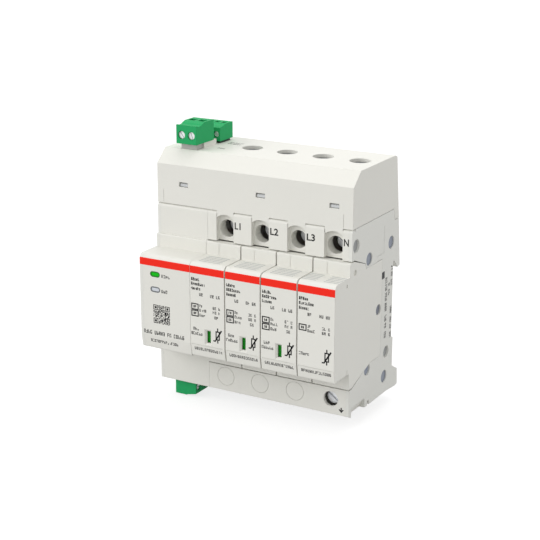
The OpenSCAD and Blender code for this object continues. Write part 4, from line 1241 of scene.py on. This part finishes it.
@dataclass
class Base(SubAssembly):
    """The base with its end cover, rivets, bars, terminals and rail clip, and its marks.

    A letter is its text, left edge and width. A hole in the right side is the Y and Z of its
    centre and its radius. A profile is the corners of a turned body in such a hole: how deep below
    the side, and the radius.
    """

    tab_plane: float = -42.4
    face_plane: float = -42.6
    cap: float = 3.1
    low: float = 35.0
    ink_deep: float = 0.06
    swell: float = 0.022
    weld: float = 1e-5
    letters: tuple[tuple[str, float, float], ...] = (
        ("L1", -8.5, 3.0), ("L2", 9.35, 3.95), ("L3", 27.15, 3.95), ("N", 44.8, 2.3))
    arrow_at: Flat = (45.1, -38.2)
    arrow_shaft: tuple[float, ...] = (-0.28, 0.28, -1.3, 0.0)
    arrow_head: tuple[Flat, ...] = (
        (-1.2, -1.1), (0.0, -2.45), (1.2, -1.1), (0.8, -0.75), (0.0, -1.5), (-0.8, -0.75))
    side_plane: float = 48.8
    side_seed: int = 21
    side_rows: Rows = (
        (-16.4, 12.3, 6.0, 7.9), (3.1, 8.9, 3.1, 4.9), (7.1, 16.4, 0.5, 2.2), (-17.8, -1.8, 0.5, 2.2))
    side_gaps: tuple[int, ...] = (4, 5, 9, 14, 15, 21, 27)
    side_pitch: float = 0.42
    side_block: tuple[float, ...] = (12.4, 15.6, 9.0, 11.8)
    notch_rivet: Flat = (-25.1, -25.6)
    rivet_profile: tuple[Flat, ...] = (
        (0.98, 0.0), (0.98, 2.5), (0.6, 2.5), (0.45, 2.3), (0.42, 1.3), (0.6, 1.1), (0.6, 0.0))
    holes: Rows = ((-38.6, 34.5, 2.95), (-5.3, -23.6, 2.75))
    floor_deep: Flat = (0.99, 0.94)

    def finishes(self) -> dict[str, Finish]:
        """Shells, contacts and terminals of the base.

        Returns:
            The finish of each node.
        """
        terminals = [*(pole.value for pole in Pole), "earth"]
        return {"base_housing": HOUSING, "end_cover": SIDE_COVER, "base_rivets": RIVET,
                "line_bars": COPPER, "link_bar": COPPER, "earth_bar": COPPER, "rail_clip": CLIP_PLASTIC,
                **{f"{kind}_{mark}": ZINC for kind in ("screw", "cage") for mark in terminals}}

    def build(self) -> None:
        """Build the terminal letters, the earth mark, the print and metal on the right side, and the
        grey floors of two holes there, which are painted shade deep in the holes.
        """
        for letter in self.letters:
            self._letter(*letter)
        mark = self.sheet("earth_mark", DARK_INK, plane=self.face_plane, corner=self.arrow_at)
        self.shop.print(mark.bar(*self.arrow_shaft).shape(*self.arrow_head))
        side = self.sheet("print_side", TEXT_INK, face=Face.RIGHT, plane=self.side_plane,
                          seed=self.side_seed)
        side.rows(self.side_rows, gaps=self.side_gaps, capitals=True, pitch=self.side_pitch)
        self.shop.print(side.bar(*self.side_block))
        self._turned("notch_rivet", RIVET, {self.notch_rivet: self.rivet_profile})
        # The hole floors are darker grey than the housing: painted shade deep in the holes.
        deep, shallow = self.floor_deep
        self._turned("hole_floors", HOLE_SHADE_GREY, {
            (y, z): ((deep, 0.0), (deep, radius), (shallow, radius), (shallow, 0.0))
            for y, z, radius in self.holes})

    def _turned(self, name: str, finish: Finish, bodies: dict[Flat, tuple[Flat, ...]]) -> None:
        """Build one piece of turned bodies that stand in holes of the right side.

        Args:
            name: The piece's name.
            finish: Its finish.
            bodies: The profile of each body, by its centre.
        """
        solid = Solid()
        for centre, profile in bodies.items():
            solid.turn(centre, [(self.side_plane - deep, radius) for deep, radius in profile])
        self.shop.piece(name, solid, finish, self.body)

    def _letter(self, text: str, x: float, wide: float) -> None:
        """Build one terminal letter as a thin raised mesh.

        Args:
            text: The letter, with its number.
            x: Its left edge.
            wide: Its width.
        """
        curve = bpy.data.curves.new("letter", "FONT")
        curve.body, curve.size, curve.extrude, curve.offset = text, 1.0, 0.5, self.swell
        carrier, solid = stand("letter", curve), Solid()
        solid.take(drawn_mesh(carrier))
        bpy.data.objects.remove(carrier)
        bpy.data.curves.remove(curve)
        verts = solid.bm.verts
        bmesh.ops.remove_doubles(solid.bm, verts=verts, dist=self.weld)
        low, high = (Vector([end(vert.co[axis] for vert in verts) for axis in range(3)])
                     for end in (min, max))
        shares = [size * MM / span for size, span in zip((wide, self.cap, self.ink_deep), high - low)]
        squeeze = Matrix.Diagonal((*shares, 1))
        centre = Matrix.Translation((-low.x, -low.y, -(low.z + high.z) / 2))
        solid.bm.transform(moved(x, self.tab_plane, self.low) @ turned(90, "X") @ squeeze @ centre)
        self.shop.piece(f"letter_{text.lower()}", solid, DARK_INK, self.body)


@dataclass
class Hood(SubAssembly):
    """The hood over the terminals: cover, tray, board and current sensors."""

    roof: float = 66.3
    seed: int = 22
    rows: Rows = (
        (-28.0, -20.9, -13.4, -12.1), (-28.0, -20.9, -15.9, -14.5), (-26.9, -23.0, -26.7, -25.2))

    def finishes(self) -> dict[str, Finish]:
        """Cover, tray and electronics of the hood."""
        return {"hood_cover": HOUSING, "hood_tray": TRAY_PLASTIC, "hood_board": BOARD,
                "sensor_rings": DARK_PLASTIC, "headers": HEADER_PLASTIC_AND_SHADOW}

    def build(self) -> None:
        """Build the faint print behind the plugs."""
        roof = self.sheet("print_roof", FAINT_INK, face=Face.TOP, plane=self.roof, seed=self.seed)
        self.shop.print(roof.rows(self.rows))


@dataclass
class Plug(SubAssembly):
    """A pluggable terminal: green housing, clamps and screws."""

    place: str
    screws: tuple[str, ...]

    def finishes(self) -> dict[str, Finish]:
        """Housing, clamps and screws of the plug."""
        return {f"plug_{self.place}": PLUG_PLASTIC, f"clamps_{self.place}": ZINC,
                **{f"plug_screw_{mark}": NICKEL for mark in self.screws}}


@dataclass
class Studio:
    """Floor, lights, world and camera.

    A light is its name, the direction that it stands in, its strength, and how wide it looks from
    the part, in degrees.
    """

    floor_z: float = -50.6
    floor_size: float = 12.0
    floor_colour: float = 0.5
    floor_seen: float = 0.3
    floor_glow: float = 0.78
    floor_rough: float = 0.9
    camera_at: Point = (281.379, -525.772, 190.674)
    azimuth: float = 29.376
    elevation: float = 17.192
    roll: float = 0.104
    lens: float = 88.93
    sensor: float = 36.0
    clip: Flat = (0.05, 20.0)
    sky: float = 0.78
    lights: tuple[tuple[str, Point, float, float], ...] = (
        ("key", (-0.8, -0.6, 0.4), 1.35, 40.0), ("top", (0.0, 0.4, 1.0), 0.9, 50.0))

    def build(self) -> None:
        """Set the whole studio round the part."""
        self._world()
        self._floor()
        for name, towards, strength, spread in self.lights:
            data = bpy.data.lights.new(name, "SUN")
            data.energy, data.angle = strength, math.radians(spread)
            stand(name, data).rotation_euler = (-Vector(towards)).to_track_quat("-Z", "Y").to_euler()
        self._camera()
        bpy.context.scene.view_settings.view_transform = "Standard"

    @staticmethod
    def _seen(bench: Bench) -> Socket:
        """Mask of the rays that show a surface: from the camera, and in gloss and glass.

        Args:
            bench: The tree.

        Returns:
            1 for those rays, else 0.
        """
        rays = bench.add("ShaderNodeLightPath", {}).outputs
        shown = bench.math("MAXIMUM", rays["Is Glossy Ray"], rays["Is Transmission Ray"])
        return bench.math("MAXIMUM", rays["Is Camera Ray"], shown)

    def _world(self) -> None:
        """Even pale light all round, seen as white by the camera and in reflections."""
        world = bpy.data.worlds.new("studio")
        bpy.context.scene.world = world
        world.use_nodes = True
        bench, back = Bench(world.node_tree), world.node_tree.nodes["Background"]
        extra = bench.math("MULTIPLY", self._seen(bench), 1.0 - self.sky)
        bench.feed((1, 1, 1, 1), back.inputs["Color"])
        bench.feed(bench.math("ADD", extra, self.sky), back.inputs["Strength"])

    def _floor(self) -> None:
        """Pale floor just under the part; it keeps the shadow."""
        half, height = self.floor_size / 2, self.floor_z * MM
        mesh = bpy.data.meshes.new("floor")
        corners = ((-half, -half), (half, -half), (half, half), (-half, half))
        mesh.from_pydata([(x, y, height) for x, y in corners], [], [(0, 1, 2, 3)])
        made, shader = new_material("floor")
        bench = Bench(made.node_tree)
        seen = self._seen(bench)
        plain, shown = ((level, level, level, 1) for level in (self.floor_colour, self.floor_seen))
        for label, value in (
                ("Base Color", bench.mix(seen, plain, shown)), ("Roughness", self.floor_rough),
                ("Specular IOR Level", 0.0), ("Emission Color", (1, 1, 1, 1)),
                ("Emission Strength", bench.math("MULTIPLY", seen, self.floor_glow))):
            bench.feed(value, shader.inputs[label])
        mesh.materials.append(made)
        floor = stand("floor", mesh)

    def _camera(self) -> None:
        """Stand the camera where the photograph was taken from."""
        az, el, roll = (math.radians(value) for value in (self.azimuth, self.elevation, self.roll))
        ahead = Vector((-math.sin(az) * math.cos(el), math.cos(az) * math.cos(el), -math.sin(el)))
        level = Vector((math.cos(az), math.sin(az), 0))
        above = level.cross(ahead)
        right = math.cos(roll) * level + math.sin(roll) * above
        up = math.cos(roll) * above - math.sin(roll) * level
        data = bpy.data.cameras.new("camera")
        data.lens, data.sensor_width = self.lens, self.sensor
        data.clip_start, data.clip_end = self.clip
        place = Matrix((right, up, -ahead)).transposed().to_4x4()
        place.translation = Vector(self.camera_at) * MM
        camera = stand("camera", data)
        camera.matrix_world = place
        bpy.context.scene.camera = camera


def main() -> None:
    """Dress the frame, add the pieces and set the studio."""
    logging.basicConfig(level=logging.INFO, format="%(message)s")
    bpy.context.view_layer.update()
    shop = Workshop()
    assemblies: list[SubAssembly] = [
        Base(shop), *(Cartridge(shop, pole=pole) for pole in Pole), MonitoringUnit(shop), Hood(shop),
        Plug(shop, "front", ("f1", "f2")), Plug(shop, "rear", ("r1", "r2", "r3")),
        Plug(shop, "bottom", ("b1", "b2"))]
    dressed: set[str] = set()
    for assembly in assemblies:
        dressed |= assembly.dress()
        assembly.build()
        LOG.info("%s is done", type(assembly).__name__)
    if dressed != set(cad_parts):
        raise ValueError(f"nodes without a finish: {sorted(set(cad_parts) - dressed)}")
    Studio().build()


if __name__ == "__main__":
    main()
